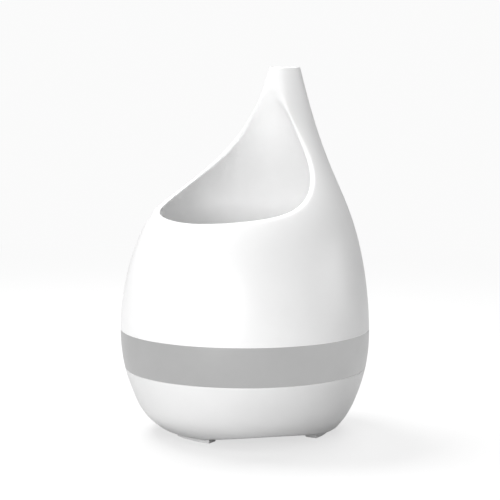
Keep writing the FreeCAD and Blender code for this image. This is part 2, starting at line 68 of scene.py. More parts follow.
class Spline:
    """Natural cubic spline through a few (position, value) stations."""

    def __init__(self, places: Sequence[float], values: Sequence[float]) -> None:
        """Solve for the second derivatives.

        Args:
            places: Increasing positions.
            values: The value at each position.
        """
        self.x = np.asarray(places, float)
        self.y = np.asarray(values, float)
        count = len(self.x)
        step = np.diff(self.x)
        matrix = np.eye(count)
        right = np.zeros(count)
        for i in range(1, count - 1):
            matrix[i, i - 1] = step[i - 1]
            matrix[i, i] = 2 * (step[i - 1] + step[i])
            matrix[i, i + 1] = step[i]
            slopes = np.diff(self.y[i - 1 : i + 2]) / step[i - 1 : i + 1]
            right[i] = 6 * (slopes[1] - slopes[0])
        self.bend = np.linalg.solve(matrix, right)

    def __call__(self, place: np.ndarray | float) -> np.ndarray:
        """Value at a position.

        Args:
            place: One position or an array of them.

        Returns:
            The spline's value there.
        """
        place = np.asarray(place, float)
        i = np.clip(np.searchsorted(self.x, place) - 1, 0, len(self.x) - 2)
        step = self.x[i + 1] - self.x[i]
        a = (self.x[i + 1] - place) / step
        b = 1 - a
        curve = ((a**3 - a) * self.bend[i] + (b**3 - b) * self.bend[i + 1]) * step**2 / 6
        return a * self.y[i] + b * self.y[i + 1] + curve


@dataclass
class LeaningForm:
    """A stack of circles whose centres lean back as they rise.

    Each station is (height, radius, distance of the centre towards the back),
    in millimetres. Angles run round from the front, through the right side.
    """

    stations: Sequence[Point]
    inset: float = 0.0
    radius: Spline = field(init=False)
    centre: Spline = field(init=False)

    def __post_init__(self) -> None:
        """Fit the two splines."""
        heights = [row[0] for row in self.stations]
        self.radius = Spline(heights, [row[1] - self.inset for row in self.stations])
        self.centre = Spline(heights, [row[2] for row in self.stations])

    def shrunk(self, amount: float) -> "LeaningForm":
        """The same form with every radius made smaller by an amount."""
        return LeaningForm(self.stations, self.inset + amount)

    def point(self, angle: np.ndarray | float, z: np.ndarray | float) -> np.ndarray:
        """Points on the form.

        Args:
            angle: Radians from the front.
            z: Height.

        Returns:
            Array whose last axis is x, y, z.
        """
        angle, z = np.broadcast_arrays(np.asarray(angle, float), np.asarray(z, float))
        r = self.radius(z)
        x = r * np.sin(angle)
        y = self.centre(z) - r * np.cos(angle)
        return np.stack([x, y, z], -1)

    def angle_of(self, place: np.ndarray) -> np.ndarray:
        """Angle from the front of points near the form."""
        return np.arctan2(place[..., 0], self.centre(place[..., 2]) - place[..., 1])

    def back_y(self, x: float, z: float) -> float:
        """How far back the form reaches at a side position and height."""
        r = float(self.radius(z))
        return float(self.centre(z)) + math.sqrt(max(r * r - x * x, 0.0))


BODY_FORM = LeaningForm(
    (
        (1.0, 57.7, 6.1),
        (10.0, 66.9, 2.6),
        (26.0, 76.1, 1.0),
        (48.0, 82.8, 0.4),
        (73.0, 84.7, 0.0),
        (100.0, 82.4, 0.7),
        (128.0, 76.2, 2.9),
        (154.0, 64.7, 8.6),
        (178.0, 46.7, 21.2),
        (202.0, 28.4, 36.3),
        (224.0, 17.7, 42.8),
        (248.0, 10.7, 44.0),
    )
)

BOWL_FORM = LeaningForm(
    (
        (110.0, 76.9, 1.2),
        (128.0, 72.5, 2.9),
        (148.0, 64.2, 6.8),
        (162.0, 55.2, 11.0),
        (182.0, 39.3, 15.3),
        (202.0, 25.5, 16.9),
        (218.0, 16.5, 18.9),
        (226.0, 11.6, 19.6),
        (236.0, 7.8, 20.6),
    )
)


class RimCurve:
    """Side profile of the scoop's rim, the same across the whole width."""

    STATIONS = (
        (-104.0, 124.0),
        (-81.0, 140.0),
        (-63.0, 147.0),
        (-26.3, 154.0),
        (-2.2, 164.0),
        (12.8, 176.0),
        (22.9, 190.0),
        (27.1, 204.0),
        (28.7, 220.0),
        (29.2, 238.0),
        (28.6, 256.0),
    )

    def __init__(self) -> None:
        """Sample a smooth curve through the stations."""
        rows = np.array(self.STATIONS)
        length = np.r_[0, np.cumsum(np.linalg.norm(np.diff(rows, axis=0), axis=1))]
        along = np.linspace(0, length[-1], 1200)
        self.y = Spline(length, rows[:, 0])(along)
        self.z = Spline(length, rows[:, 1])(along)

    def height(self, y: float) -> float:
        """Height of the rim at a distance back."""
        rising = self.y[: int(np.argmax(self.y))]
        return float(np.interp(y, rising, self.z[: len(rising)]))

    def back(self, z: float) -> float:
        """Distance back of the rim at a height."""
        return float(np.interp(z, self.z, self.y))


def smoother(t: np.ndarray | float) -> np.ndarray | float:
    """Ease from 0 to 1 with no kink at either end.

    Args:
        t: Share of the way, cut to 0 and 1.

    Returns:
        The eased share.
    """
    t = np.clip(t, 0.0, 1.0)
    return t * t * (3 - 2 * t)


def crossing(low: float, high: float, below: Callable[[float], bool]) -> float:
    """Height at which a test stops holding, found by halving.

    Args:
        low: Height where it holds.
        high: Height where it doesn't.
        below: The test.

    Returns:
        The height between them.
    """
    for _ in range(50):
        middle = (low + high) / 2
        if below(middle):
            low = middle
        else:
            high = middle
    return (low + high) / 2


def quarter(count: int) -> np.ndarray:
    """Angles of a quarter turn after its start.

    Args:
        count: Number of stations, the start included.

    Returns:
        Radians up to a right angle.
    """
    return np.linspace(0, math.pi / 2, count)[1:]


def turns(count: int) -> np.ndarray:
    """Even angles once round.

    Args:
        count: Number of angles.

    Returns:
        Radians from 0, without the end.
    """
    return np.linspace(0, 2 * math.pi, count, endpoint=False)


def upright_ring(axis: tuple[float, float], radius: float, y: float, count: int) -> np.ndarray:
    """Circle that faces the back.

    Args:
        axis: Side position and height of its centre.
        radius: Radius.
        y: How far back it is.
        count: Number of points.

    Returns:
        Array of points.
    """
    turn = turns(count)
    x, z = axis
    return np.stack([x + radius * np.cos(turn), np.full(count, y), z + radius * np.sin(turn)], -1)


def axis_of(node: str) -> tuple[float, float]:
    """Side position and height of the middle of a CAD node.

    Args:
        node: Name of the node.

    Returns:
        x and z in millimetres.
    """
    low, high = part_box(node)
    return (low.x + high.x) / 2 / MM, (low.z + high.z) / 2 / MM


# ---------------------------------------------------------------- meshes


class Draft:
    """Vertices and faces of one piece while it's being drawn, in millimetres."""

    def __init__(self) -> None:
        """Start empty."""
        self.points: list[Point] = []
        self.faces: list[tuple[int, ...]] = []

    def row(self, points: np.ndarray) -> list[int]:
        """Add a row of points.

        Args:
            points: Array of x, y, z rows.

        Returns:
            Index of each new point.
        """
        first = len(self.points)
        self.points.extend(tuple(p) for p in np.asarray(points, float))
        return list(range(first, len(self.points)))

    def skin(self, rows: Sequence[Sequence[int]], closed: bool, flip: bool = False) -> None:
        """Fill quads between neighbouring rows of equal length.

        Args:
            rows: Rows of point indices.
            closed: Whether each row joins up with its own start.
            flip: Turn the faces over.
        """
        for low, high in zip(rows, rows[1:]):
            last = len(low) if closed else len(low) - 1
            for i in range(last):
                j = (i + 1) % len(low)
                quad = (low[i], low[j], high[j], high[i])
                quad = tuple(dict.fromkeys(quad))
                if len(quad) > 2:
                    self.faces.append(quad[::-1] if flip else quad)

    def cap(self, row: Sequence[int], flip: bool = False) -> None:
        """Close a ring with one flat face."""
        self.faces.append(tuple(row)[::-1] if flip else tuple(row))

    def shell(self, loops: Sequence[np.ndarray], flip: bool = False) -> None:
        """Join closed loops into a closed ring-shaped solid, the last back to the first."""
        rows = [self.row(loop) for loop in loops]
        self.skin(rows + [rows[0]], True, flip)

    def build(self, name: str, weld: float = 0.004) -> bpy.types.Object:
        """Make the object.

        Args:
            name: Object name.
            weld: Distance under which points are merged, in millimetres.

        Returns:
            Smooth-shaded mesh object, in metres.
        """
        mesh = bpy.data.meshes.new(name)
        mesh.from_pydata([tuple(c * MM for c in p) for p in self.points], [], self.faces)
        work = bmesh.new()
        work.from_mesh(mesh)
        bmesh.ops.remove_doubles(work, verts=work.verts, dist=weld * MM)
        bmesh.ops.dissolve_degenerate(work, edges=work.edges, dist=1e-7)
        bmesh.ops.recalc_face_normals(work, faces=work.faces)
        work.to_mesh(mesh)
        work.free()
        return link(name, mesh)


def link(name: str, mesh: bpy.types.Mesh) -> bpy.types.Object:
    """Put a mesh in the scene as a smooth-shaded object at the origin.

    Args:
        name: Name of the object and the mesh.
        mesh: The mesh.

    Returns:
        The new object.
    """
    mesh.name = name
    made = bpy.data.objects.new(name, mesh)
    bpy.context.scene.collection.objects.link(made)
    mesh.polygons.foreach_set("use_smooth", [True] * len(mesh.polygons))
    return made


def freeze(made: bpy.types.Object) -> bpy.types.Object:
    """Turn an object's modifiers into plain mesh.

    Args:
        made: The object, changed in place.

    Returns:
        The same object.
    """
    graph = bpy.context.evaluated_depsgraph_get()
    mesh = bpy.data.meshes.new_from_object(made.evaluated_get(graph))
    made.modifiers.clear()
    made.data = mesh
    mesh.name = made.name
    return made


def crease(made: bpy.types.Object, degrees: float) -> bpy.types.Object:
    """Shade smooth except across edges sharper than an angle.

    Args:
        made: The object, changed in place.
        degrees: Angle over which an edge stays sharp.

    Returns:
        The same object.
    """
    made.data.polygons.foreach_set("use_smooth", [True] * len(made.data.polygons))
    made.data.set_sharp_from_angle(angle=math.radians(degrees))
    return made


def outward(made: bpy.types.Object) -> bpy.types.Object:
    """Weld a mesh and turn all its faces outwards.

    Args:
        made: The object, changed in place.

    Returns:
        The same object.
    """
    work = bmesh.new()
    work.from_mesh(made.data)
    bmesh.ops.remove_doubles(work, verts=work.verts, dist=1e-6)
    bmesh.ops.recalc_face_normals(work, faces=work.faces)
    work.to_mesh(made.data)
    work.free()
    return made


def dress(made: bpy.types.Object, *materials: bpy.types.Material) -> bpy.types.Object:
    """Give an object its materials.

    Args:
        made: The object, changed in place.
        *materials: One material per slot.

    Returns:
        The same object.
    """
    made.data.materials.clear()
    for material in materials:
        made.data.materials.append(material)
    return made


def settle(
    made: bpy.types.Object, body: str, nodes: Sequence[str] = ()
) -> bpy.types.Object:
    """Fix a finished piece to its body.

    Args:
        made: The piece.
        body: Body that it rides on.
        nodes: CAD nodes that it stands for.

    Returns:
        The piece.
    """
    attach(made, body)
    if nodes:
        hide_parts(*nodes)
    LOG.info("%s: %d faces on %s", made.name, len(made.data.polygons), body)
    return made


# ---------------------------------------------------------------- node trees


class NodeSheet:
    """Short way to lay out nodes and wire them up."""

    def __init__(self, tree: bpy.types.NodeTree) -> None:
        """Wrap a node tree."""
        self.tree = tree

    def add(self, kind: str, settings: Optional[dict] = None, **sockets: object) -> bpy.types.Node:
        """Add a node.

        Args:
            kind: Node type name.
            settings: Properties set on the node itself.
            **sockets: Values or output sockets for its inputs, by name with _ for a space.

        Returns:
            The node.
        """
        node = self.tree.nodes.new(kind)
        for name, value in (settings or {}).items():
            setattr(node, name, value)
        for name, value in sockets.items():
            self.feed(node.inputs[name.replace("_", " ")], value)
        return node

    def feed(self, socket: bpy.types.NodeSocket, value: object) -> None:
        """Wire an output into a socket, or set the socket's own value.

        Args:
            socket: Input socket.
            value: Output socket, or the value itself.
        """
        if isinstance(value, bpy.types.NodeSocket):
            self.tree.links.new(value, socket)
        else:
            socket.default_value = value

    def math(self, operation: str, *values: object) -> bpy.types.NodeSocket:
        """Result of a Math node on one to three numbers or sockets.

        Args:
            operation: Blender's name for what the node does.
            *values: Numbers or sockets, in order.

        Returns:
            The node's output.
        """
        node = self.add("ShaderNodeMath", {"operation": operation})
        for socket, value in zip(node.inputs, values):
            self.feed(socket, value)
        return node.outputs[0]

    def plus(self, *values: object) -> bpy.types.NodeSocket:
        """Sum of two or more numbers or sockets, from the left."""
        return reduce(lambda a, b: self.math("ADD", a, b), values)

    def minus(self, value: object, less: object) -> bpy.types.NodeSocket:
        """One number or socket less another."""
        return self.math("SUBTRACT", value, less)

    def times(self, *values: object) -> bpy.types.NodeSocket:
        """Product of two or more numbers or sockets, from the left."""
        return reduce(lambda a, b: self.math("MULTIPLY", a, b), values)

    def place(self) -> bpy.types.NodeSocket:
        """Object coordinates."""
        return self.add("ShaderNodeTexCoord").outputs["Object"]

    def blend(self, share: object, under: object, over: object) -> bpy.types.NodeSocket:
        """Mix two colours.

        Args:
            share: How much of the second shows, from 0 to 1.
            under: First colour or socket.
            over: Second colour or socket.

        Returns:
            The mixed colour.
        """
        mix = self.add("ShaderNodeMix", {"data_type": "RGBA"}, Factor=share, A=under, B=over)
        return mix.outputs["Result"]

    def vector(self, x: object, y: object, z: object) -> bpy.types.NodeSocket:
        """A vector from three numbers or sockets."""
        return self.add("ShaderNodeCombineXYZ", X=x, Y=y, Z=z).outputs[0]


class RuleTree(NodeSheet):
    """Geometry Nodes tree with named inputs that ends in realised, dressed mesh."""

    def __init__(self, name: str, inputs: Sequence[tuple[str, str, object]]) -> None:
        """Create the tree and its sockets.

        Args:
            name: Tree name.
            inputs: (name, socket type, default) of each input.
        """
        super().__init__(bpy.data.node_groups.new(name, "GeometryNodeTree"))
        face = self.tree.interface
        self.names: dict[str, str] = {}
        for label, kind, value in inputs:
            socket = face.new_socket(name=label, in_out="INPUT", socket_type=kind)
            if value is not None:
                socket.default_value = value
            self.names[label] = socket.identifier
        face.new_socket(name="Geometry", in_out="OUTPUT", socket_type="NodeSocketGeometry")
        self.source = self.add("NodeGroupInput")

    def given(self, label: str) -> bpy.types.NodeSocket:
        """Output socket of a named input."""
        return self.source.outputs[label]

    def close(self, shape: bpy.types.NodeSocket, material: bpy.types.Material) -> None:
        """End the tree with Realize Instances, smooth shading and Set Material.

        Args:
            shape: Geometry socket to end with.
            material: Material of the whole mesh.
        """
        real = self.add("GeometryNodeRealizeInstances", Geometry=shape)
        smooth = self.add("GeometryNodeSetShadeSmooth", Geometry=real.outputs[0])
        painted = self.add("GeometryNodeSetMaterial", Geometry=smooth.outputs[0])
        painted.inputs["Material"].default_value = material
        end = self.add("NodeGroupOutput")
        self.tree.links.new(painted.outputs[0], end.inputs[0])

    def grow(self, name: str, **values: object) -> bpy.types.Object:
        """Run the tree and keep the result as a plain mesh.

        Args:
            name: Name of the new object.
            **values: Input values, by name with _ for a space.

        Returns:
            Object with the made mesh and no modifier.
        """
        made = link(name, bpy.data.meshes.new(name))
        modifier = made.modifiers.new("rule", "NODES")
        modifier.node_group = self.tree
        for label, value in values.items():
            modifier[self.names[label.replace("_", " ")]] = value
        made.update_tag()
        bpy.context.view_layer.update()
        freeze(made)
        return outward(made)


# ---------------------------------------------------------------- finishes


class SurfaceEffects:
    """Shader node groups that several finishes share, each built once."""

    _made: dict[str, bpy.types.NodeTree] = {}

    @classmethod
    def _group(
        cls,
        name: str,
        inputs: Sequence[tuple[str, str, object]],
        outputs: Sequence[tuple[str, str]],
        fill: Callable[[NodeSheet, bpy.types.Node, bpy.types.Node], None],
    ) -> bpy.types.NodeTree:
        """Build a group the first time it's asked for.

        Args:
            name: Group name.
            inputs: (name, socket type, default) of each input.
            outputs: (name, socket type) of each output.
            fill: Lays out the nodes between the group's input and output.

        Returns:
            The group.
        """
        if name in cls._made:
            return cls._made[name]
        tree = bpy.data.node_groups.new(name, "ShaderNodeTree")
        for label, kind, value in inputs:
            socket = tree.interface.new_socket(name=label, in_out="INPUT", socket_type=kind)
            socket.default_value = value
        for label, kind in outputs:
            tree.interface.new_socket(name=label, in_out="OUTPUT", socket_type=kind)
        sheet = NodeSheet(tree)
        fill(sheet, sheet.add("NodeGroupInput"), sheet.add("NodeGroupOutput"))
        cls._made[name] = tree
        return tree

    @classmethod
    def moulding_grain(cls) -> bpy.types.NodeTree:
        """Fine skin of a moulded surface.

        Returns:
            The group, whose output is a height.
        """

        def fill(sheet: NodeSheet, given: bpy.types.Node, out: bpy.types.Node) -> None:
            """Lay out noise at the grain's scale.

            Args:
                sheet: Sheet on the group's tree.
                given: Group input node.
                out: Group output node.
            """
            fine = sheet.add(
                "ShaderNodeTexNoise",
                Vector=sheet.place(),
                Scale=given.outputs["Grain Scale"],
                Detail=3.0,
            )
            sheet.feed(out.inputs["Height"], fine.outputs[0])

        number = "NodeSocketFloat"
        return cls._group(
            "Moulding grain",
            (("Grain Scale", number, 2500.0),),
            (("Height", number),),
            fill,
        )

    @classmethod
    def handling_wear(cls) -> bpy.types.NodeTree:
        """Patchy change of polish and tone where a surface has been wiped and held.

        Returns:
            The group, whose outputs are a colour and a roughness.
        """

        def fill(sheet: NodeSheet, given: bpy.types.Node, out: bpy.types.Node) -> None:
            """Lay out worn patches and what they change.

            Args:
                sheet: Sheet on the group's tree.
                given: Group input node.
                out: Group output node.
            """
            patch = sheet.add(
                "ShaderNodeTexNoise",
                Vector=sheet.place(),
                Scale=given.outputs["Patch Scale"],
                Detail=4.0,
                Roughness=0.62,
            )
            mask = sheet.add(
                "ShaderNodeMapRange",
                Value=patch.outputs[0],
                From_Min=0.38,
                From_Max=0.66,
                To_Min=0.0,
                To_Max=1.0,
            ).outputs[0]
            spread = sheet.times(mask, given.outputs["Polish Change"])
            sheet.feed(out.inputs["Roughness"], sheet.plus(given.outputs["Roughness"], spread))
            worn = sheet.blend(mask, given.outputs["Tone"], given.outputs["Worn Tone"])
            sheet.feed(out.inputs["Color"], worn)

        number, colour = "NodeSocketFloat", "NodeSocketColor"
        return cls._group(
            "Handling wear",
            (
                ("Tone", colour, (0.8, 0.8, 0.8, 1)),
                ("Worn Tone", colour, (0.75, 0.75, 0.75, 1)),
                ("Roughness", number, 0.4),
                ("Polish Change", number, 0.05),
                ("Patch Scale", number, 35.0),
            ),
            (("Color", colour), ("Roughness", number)),
            fill,
        )


@dataclass(frozen=True)
class Finish:
    """What every finish has: a name, a tone and its polish."""

    name: str
    tone: Grey
    worn: Grey
    roughness: float
    polish_change: float = 0.05
    patch_scale: float = 35.0
    grain_scale: float = 2500.0
    grain_depth: float = 0.00002
    metallic: float = 0.0
    specular: float = 0.5
    coat: float = 0.0
    coat_roughness: float = 0.12
    # Emission in the finish's own colour; on the band this is a painted glow that evens out its shading.
    glow: float = 0.0

    def material(self) -> bpy.types.Material:
        """Build the material, or return it if it's already built.

        Returns:
            The material.
        """
        known = bpy.data.materials.get(self.name)
        if known is not None:
            return known
        made = bpy.data.materials.new(self.name)
        made.use_nodes = True
        made.diffuse_color = self.tone
        sheet = NodeSheet(made.node_tree)
        shader = made.node_tree.nodes["Principled BSDF"]
        self.paint(sheet, shader)
        return made

    def paint(self, sheet: NodeSheet, shader: bpy.types.Node) -> None:
        """Wire the shared effects into the shader.

        Args:
            sheet: Sheet on the material's tree.
            shader: Its Principled BSDF.
        """
        grain = sheet.add(
            "ShaderNodeGroup",
            {"node_tree": SurfaceEffects.moulding_grain()},
            Grain_Scale=self.grain_scale,
        )
        wear = sheet.add(
            "ShaderNodeGroup",
            {"node_tree": SurfaceEffects.handling_wear()},
            Tone=self.tone,
            Worn_Tone=self.worn,
            Roughness=self.roughness,
            Polish_Change=self.polish_change,
            Patch_Scale=self.patch_scale,
        )
        colour = self.pattern(sheet, wear.outputs["Color"])
        bump = sheet.add(
            "ShaderNodeBump",
            Height=grain.outputs["Height"],
            Strength=1.0,
            Distance=self.grain_depth,
        )
        sheet.feed(shader.inputs["Base Color"], colour)
        sheet.feed(shader.inputs["Roughness"], wear.outputs["Roughness"])
        sheet.feed(shader.inputs["Normal"], bump.outputs[0])
        shader.inputs["Metallic"].default_value = self.metallic
        shader.inputs["Specular IOR Level"].default_value = self.specular
        shader.inputs["Coat Weight"].default_value = self.coat
        shader.inputs["Coat Roughness"].default_value = self.coat_roughness
        if self.glow:
            sheet.feed(shader.inputs["Emission Color"], colour)
            shader.inputs["Emission Strength"].default_value = self.glow

    def pattern(self, sheet: NodeSheet, colour: bpy.types.NodeSocket) -> bpy.types.NodeSocket:
        """Lay this finish's own pattern over its tone; the plain finish has none.

        Args:
            sheet: Sheet on the material's tree.
            colour: Tone so far.

        Returns:
            The patterned colour.
        """
        return colour


@dataclass(frozen=True)
class BoardFinish(Finish):
    """Circuit board: solder mask with copper tracks and pads under it."""

    track: Grey = (0.10, 0.42, 0.22, 1)
    pad: Grey = (0.70, 0.66, 0.52, 1)
    track_scale: float = 210.0
    track_width: float = 0.16
    pad_scale: float = 330.0
    pad_size: float = 0.2

    def pattern(self, sheet: NodeSheet, colour: bpy.types.NodeSocket) -> bpy.types.NodeSocket:
        """Lay tracks and round pads over the mask's tone.

        Args:
            sheet: Sheet on the material's tree.
            colour: Tone of the mask.

        Returns:
            The patterned colour.
        """
        place = sheet.place()
        cells = sheet.add(
            "ShaderNodeTexVoronoi", {"distance": "CHEBYCHEV"}, Vector=place, Scale=self.track_scale
        )
        lines = sheet.math("LESS_THAN", cells.outputs["Distance"], self.track_width)
        dots = sheet.add("ShaderNodeTexVoronoi", Vector=place, Scale=self.pad_scale)
        pads = sheet.math("LESS_THAN", dots.outputs["Distance"], self.pad_size)
        return sheet.blend(pads, sheet.blend(lines, colour, self.track), self.pad)


@dataclass(frozen=True)
class WoundFinish(Finish):
    """Varnished copper wire wound in fine turns."""

    turn: Grey = (0.18, 0.07, 0.03, 1)
    turn_scale: float = 260.0
    gap: float = 0.3

    def pattern(self, sheet: NodeSheet, colour: bpy.types.NodeSocket) -> bpy.types.NodeSocket:
        """Darken the gaps between turns.

        Args:
            sheet: Sheet on the material's tree.
            colour: Tone of the wire.

        Returns:
            The patterned colour.
        """
        wound = sheet.add(
            "ShaderNodeTexWave", {"bands_direction": "Z"}, Vector=sheet.place(), Scale=self.turn_scale
        )
        gaps = sheet.math("LESS_THAN", wound.outputs["Fac"], self.gap)
        return sheet.blend(gaps, colour, self.turn)


@dataclass(frozen=True)
class BrushedFinish(Finish):
    """Metal with fine drawn lines along one way."""

    line: Grey = (0.42, 0.42, 0.43, 1)
    stretch: Point = (2400.0, 60.0, 2400.0)
    strength: float = 0.5

    def pattern(self, sheet: NodeSheet, colour: bpy.types.NodeSocket) -> bpy.types.NodeSocket:
        """Add drawn lines.

        Args:
            sheet: Sheet on the material's tree.
            colour: Tone of the metal.

        Returns:
            The patterned colour.
        """
        drawn = sheet.add("ShaderNodeMapping", Vector=sheet.place(), Scale=self.stretch)
        noise = sheet.add("ShaderNodeTexNoise", Vector=drawn.outputs[0], Scale=1.0, Detail=2.0)
        return sheet.blend(sheet.times(noise.outputs[0], self.strength), colour, self.line)


def grey(value: float, warm: float = 0.0) -> Grey:
    """A neutral tone, slightly warm if asked.

    Args:
        value: How light it is.
        warm: How much redder and less blue it is.

    Returns:
        Red, green, blue and alpha.
    """
    return (value + warm, value, value - warm, 1.0)


class Palette:
    """Every finish on the humidifier."""

    COVER_WHITE = Finish(
        "Cover white", grey(0.82), grey(0.808), Gloss.SATIN.value, 0.04, grain_depth=0.000012
    )
    # The base is the cover's plastic made darker: painted shade stands in for the shade the lower body sits
    # in.
    BASE_WHITE_PAINTED_SHADE = Finish(
        "Base white painted shade", grey(0.75), grey(0.735), Gloss.SATIN.value, 0.05, grain_depth=0.000012
    )
    PLATE_WHITE = Finish("Plate white", grey(0.72), grey(0.69), Gloss.MATT.value, 0.08, grain_depth=0.00004)
    # Painted glow: a dark grey with emission, as if the band's LEDs were dimly on, so the band looks evenly
    # grey instead of shaded.
    BAND_PAINTED_GLOW = Finish(
        "Band diffuser painted glow", grey(0.06), grey(0.058), Gloss.MATT.value, 0.05, grain_depth=0.00001, glow=6.1
    )
    PAD_GREY = Finish("Pad rubber", grey(0.70), grey(0.64), 0.72, 0.1, grain_depth=0.00008)
    BUTTON_WHITE = Finish("Button white", grey(0.76), grey(0.74), Gloss.POLISHED.value, 0.06)
    BASIN_CLEAR = Finish(
        "Basin frosted", grey(0.66), grey(0.62), Gloss.POLISHED.value, 0.1, grain_depth=0.00003, coat=0.2
    )
    SEAL = Finish("Seal silicone", grey(0.62, 0.01), grey(0.55, 0.01), 0.6, 0.1)
    CERAMIC = BrushedFinish("Mist disc", grey(0.66, 0.02), grey(0.55, 0.02), 0.3, 0.12, metallic=0.9)
    DARK = Finish("Dark moulding", grey(0.05), grey(0.065), Gloss.MATT.value, 0.1, grain_depth=0.00005)
    FAN = Finish("Fan black", grey(0.018), grey(0.03), 0.45, 0.12, grain_depth=0.00005)
    STEEL = BrushedFinish("Zinc steel", grey(0.55), grey(0.42), 0.32, 0.12, metallic=1.0)
    COPPER = WoundFinish("Copper winding", (0.55, 0.24, 0.10, 1), (0.42, 0.17, 0.07, 1), 0.3, 0.1)
    BOARD = BoardFinish("Board green", (0.02, 0.16, 0.07, 1), (0.015, 0.12, 0.05, 1), 0.35, 0.1)
    WHITE_BOARD = BoardFinish(
        "Board white", grey(0.74), grey(0.70), 0.4, 0.1, track=grey(0.62), pad=grey(0.5, 0.03)
    )
    PARTS = Finish("Component black", grey(0.03), grey(0.05), 0.4, 0.15, grain_scale=4000.0)
    SINK = BrushedFinish("Heat sink", grey(0.60), grey(0.5), 0.35, 0.1, metallic=1.0)
    LAMP = Finish("Lamp body", (0.85, 0.78, 0.42, 1), (0.8, 0.72, 0.36, 1), 0.25, 0.05)
    JACK = Finish("Inlet black", grey(0.015), grey(0.025), 0.35, 0.1)
    RED_WIRE = Finish("Red jacket", (0.35, 0.02, 0.02, 1), (0.28, 0.02, 0.02, 1), 0.45, 0.1)
    PALE_WIRE = Finish("Pale jacket", grey(0.62), grey(0.55), 0.45, 0.1)
    FLOAT = Finish("Float foam", grey(0.74, 0.03), grey(0.68, 0.03), 0.7, 0.1, grain_depth=0.0001)
    MAGNET = Finish("Magnet", grey(0.05), grey(0.08), Gloss.MATT.value, 0.15, grain_depth=0.00008)
    GLASS = Finish("Sensor glass", (0.4, 0.5, 0.48, 1), (0.36, 0.46, 0.44, 1), 0.08, 0.05)


# ---------------------------------------------------------------- cover


@dataclass
class RimSamples:
    """Points round the rim of one surface, and where the lip takes over from it."""

    edge: np.ndarray
    start: np.ndarray
    angle: np.ndarray


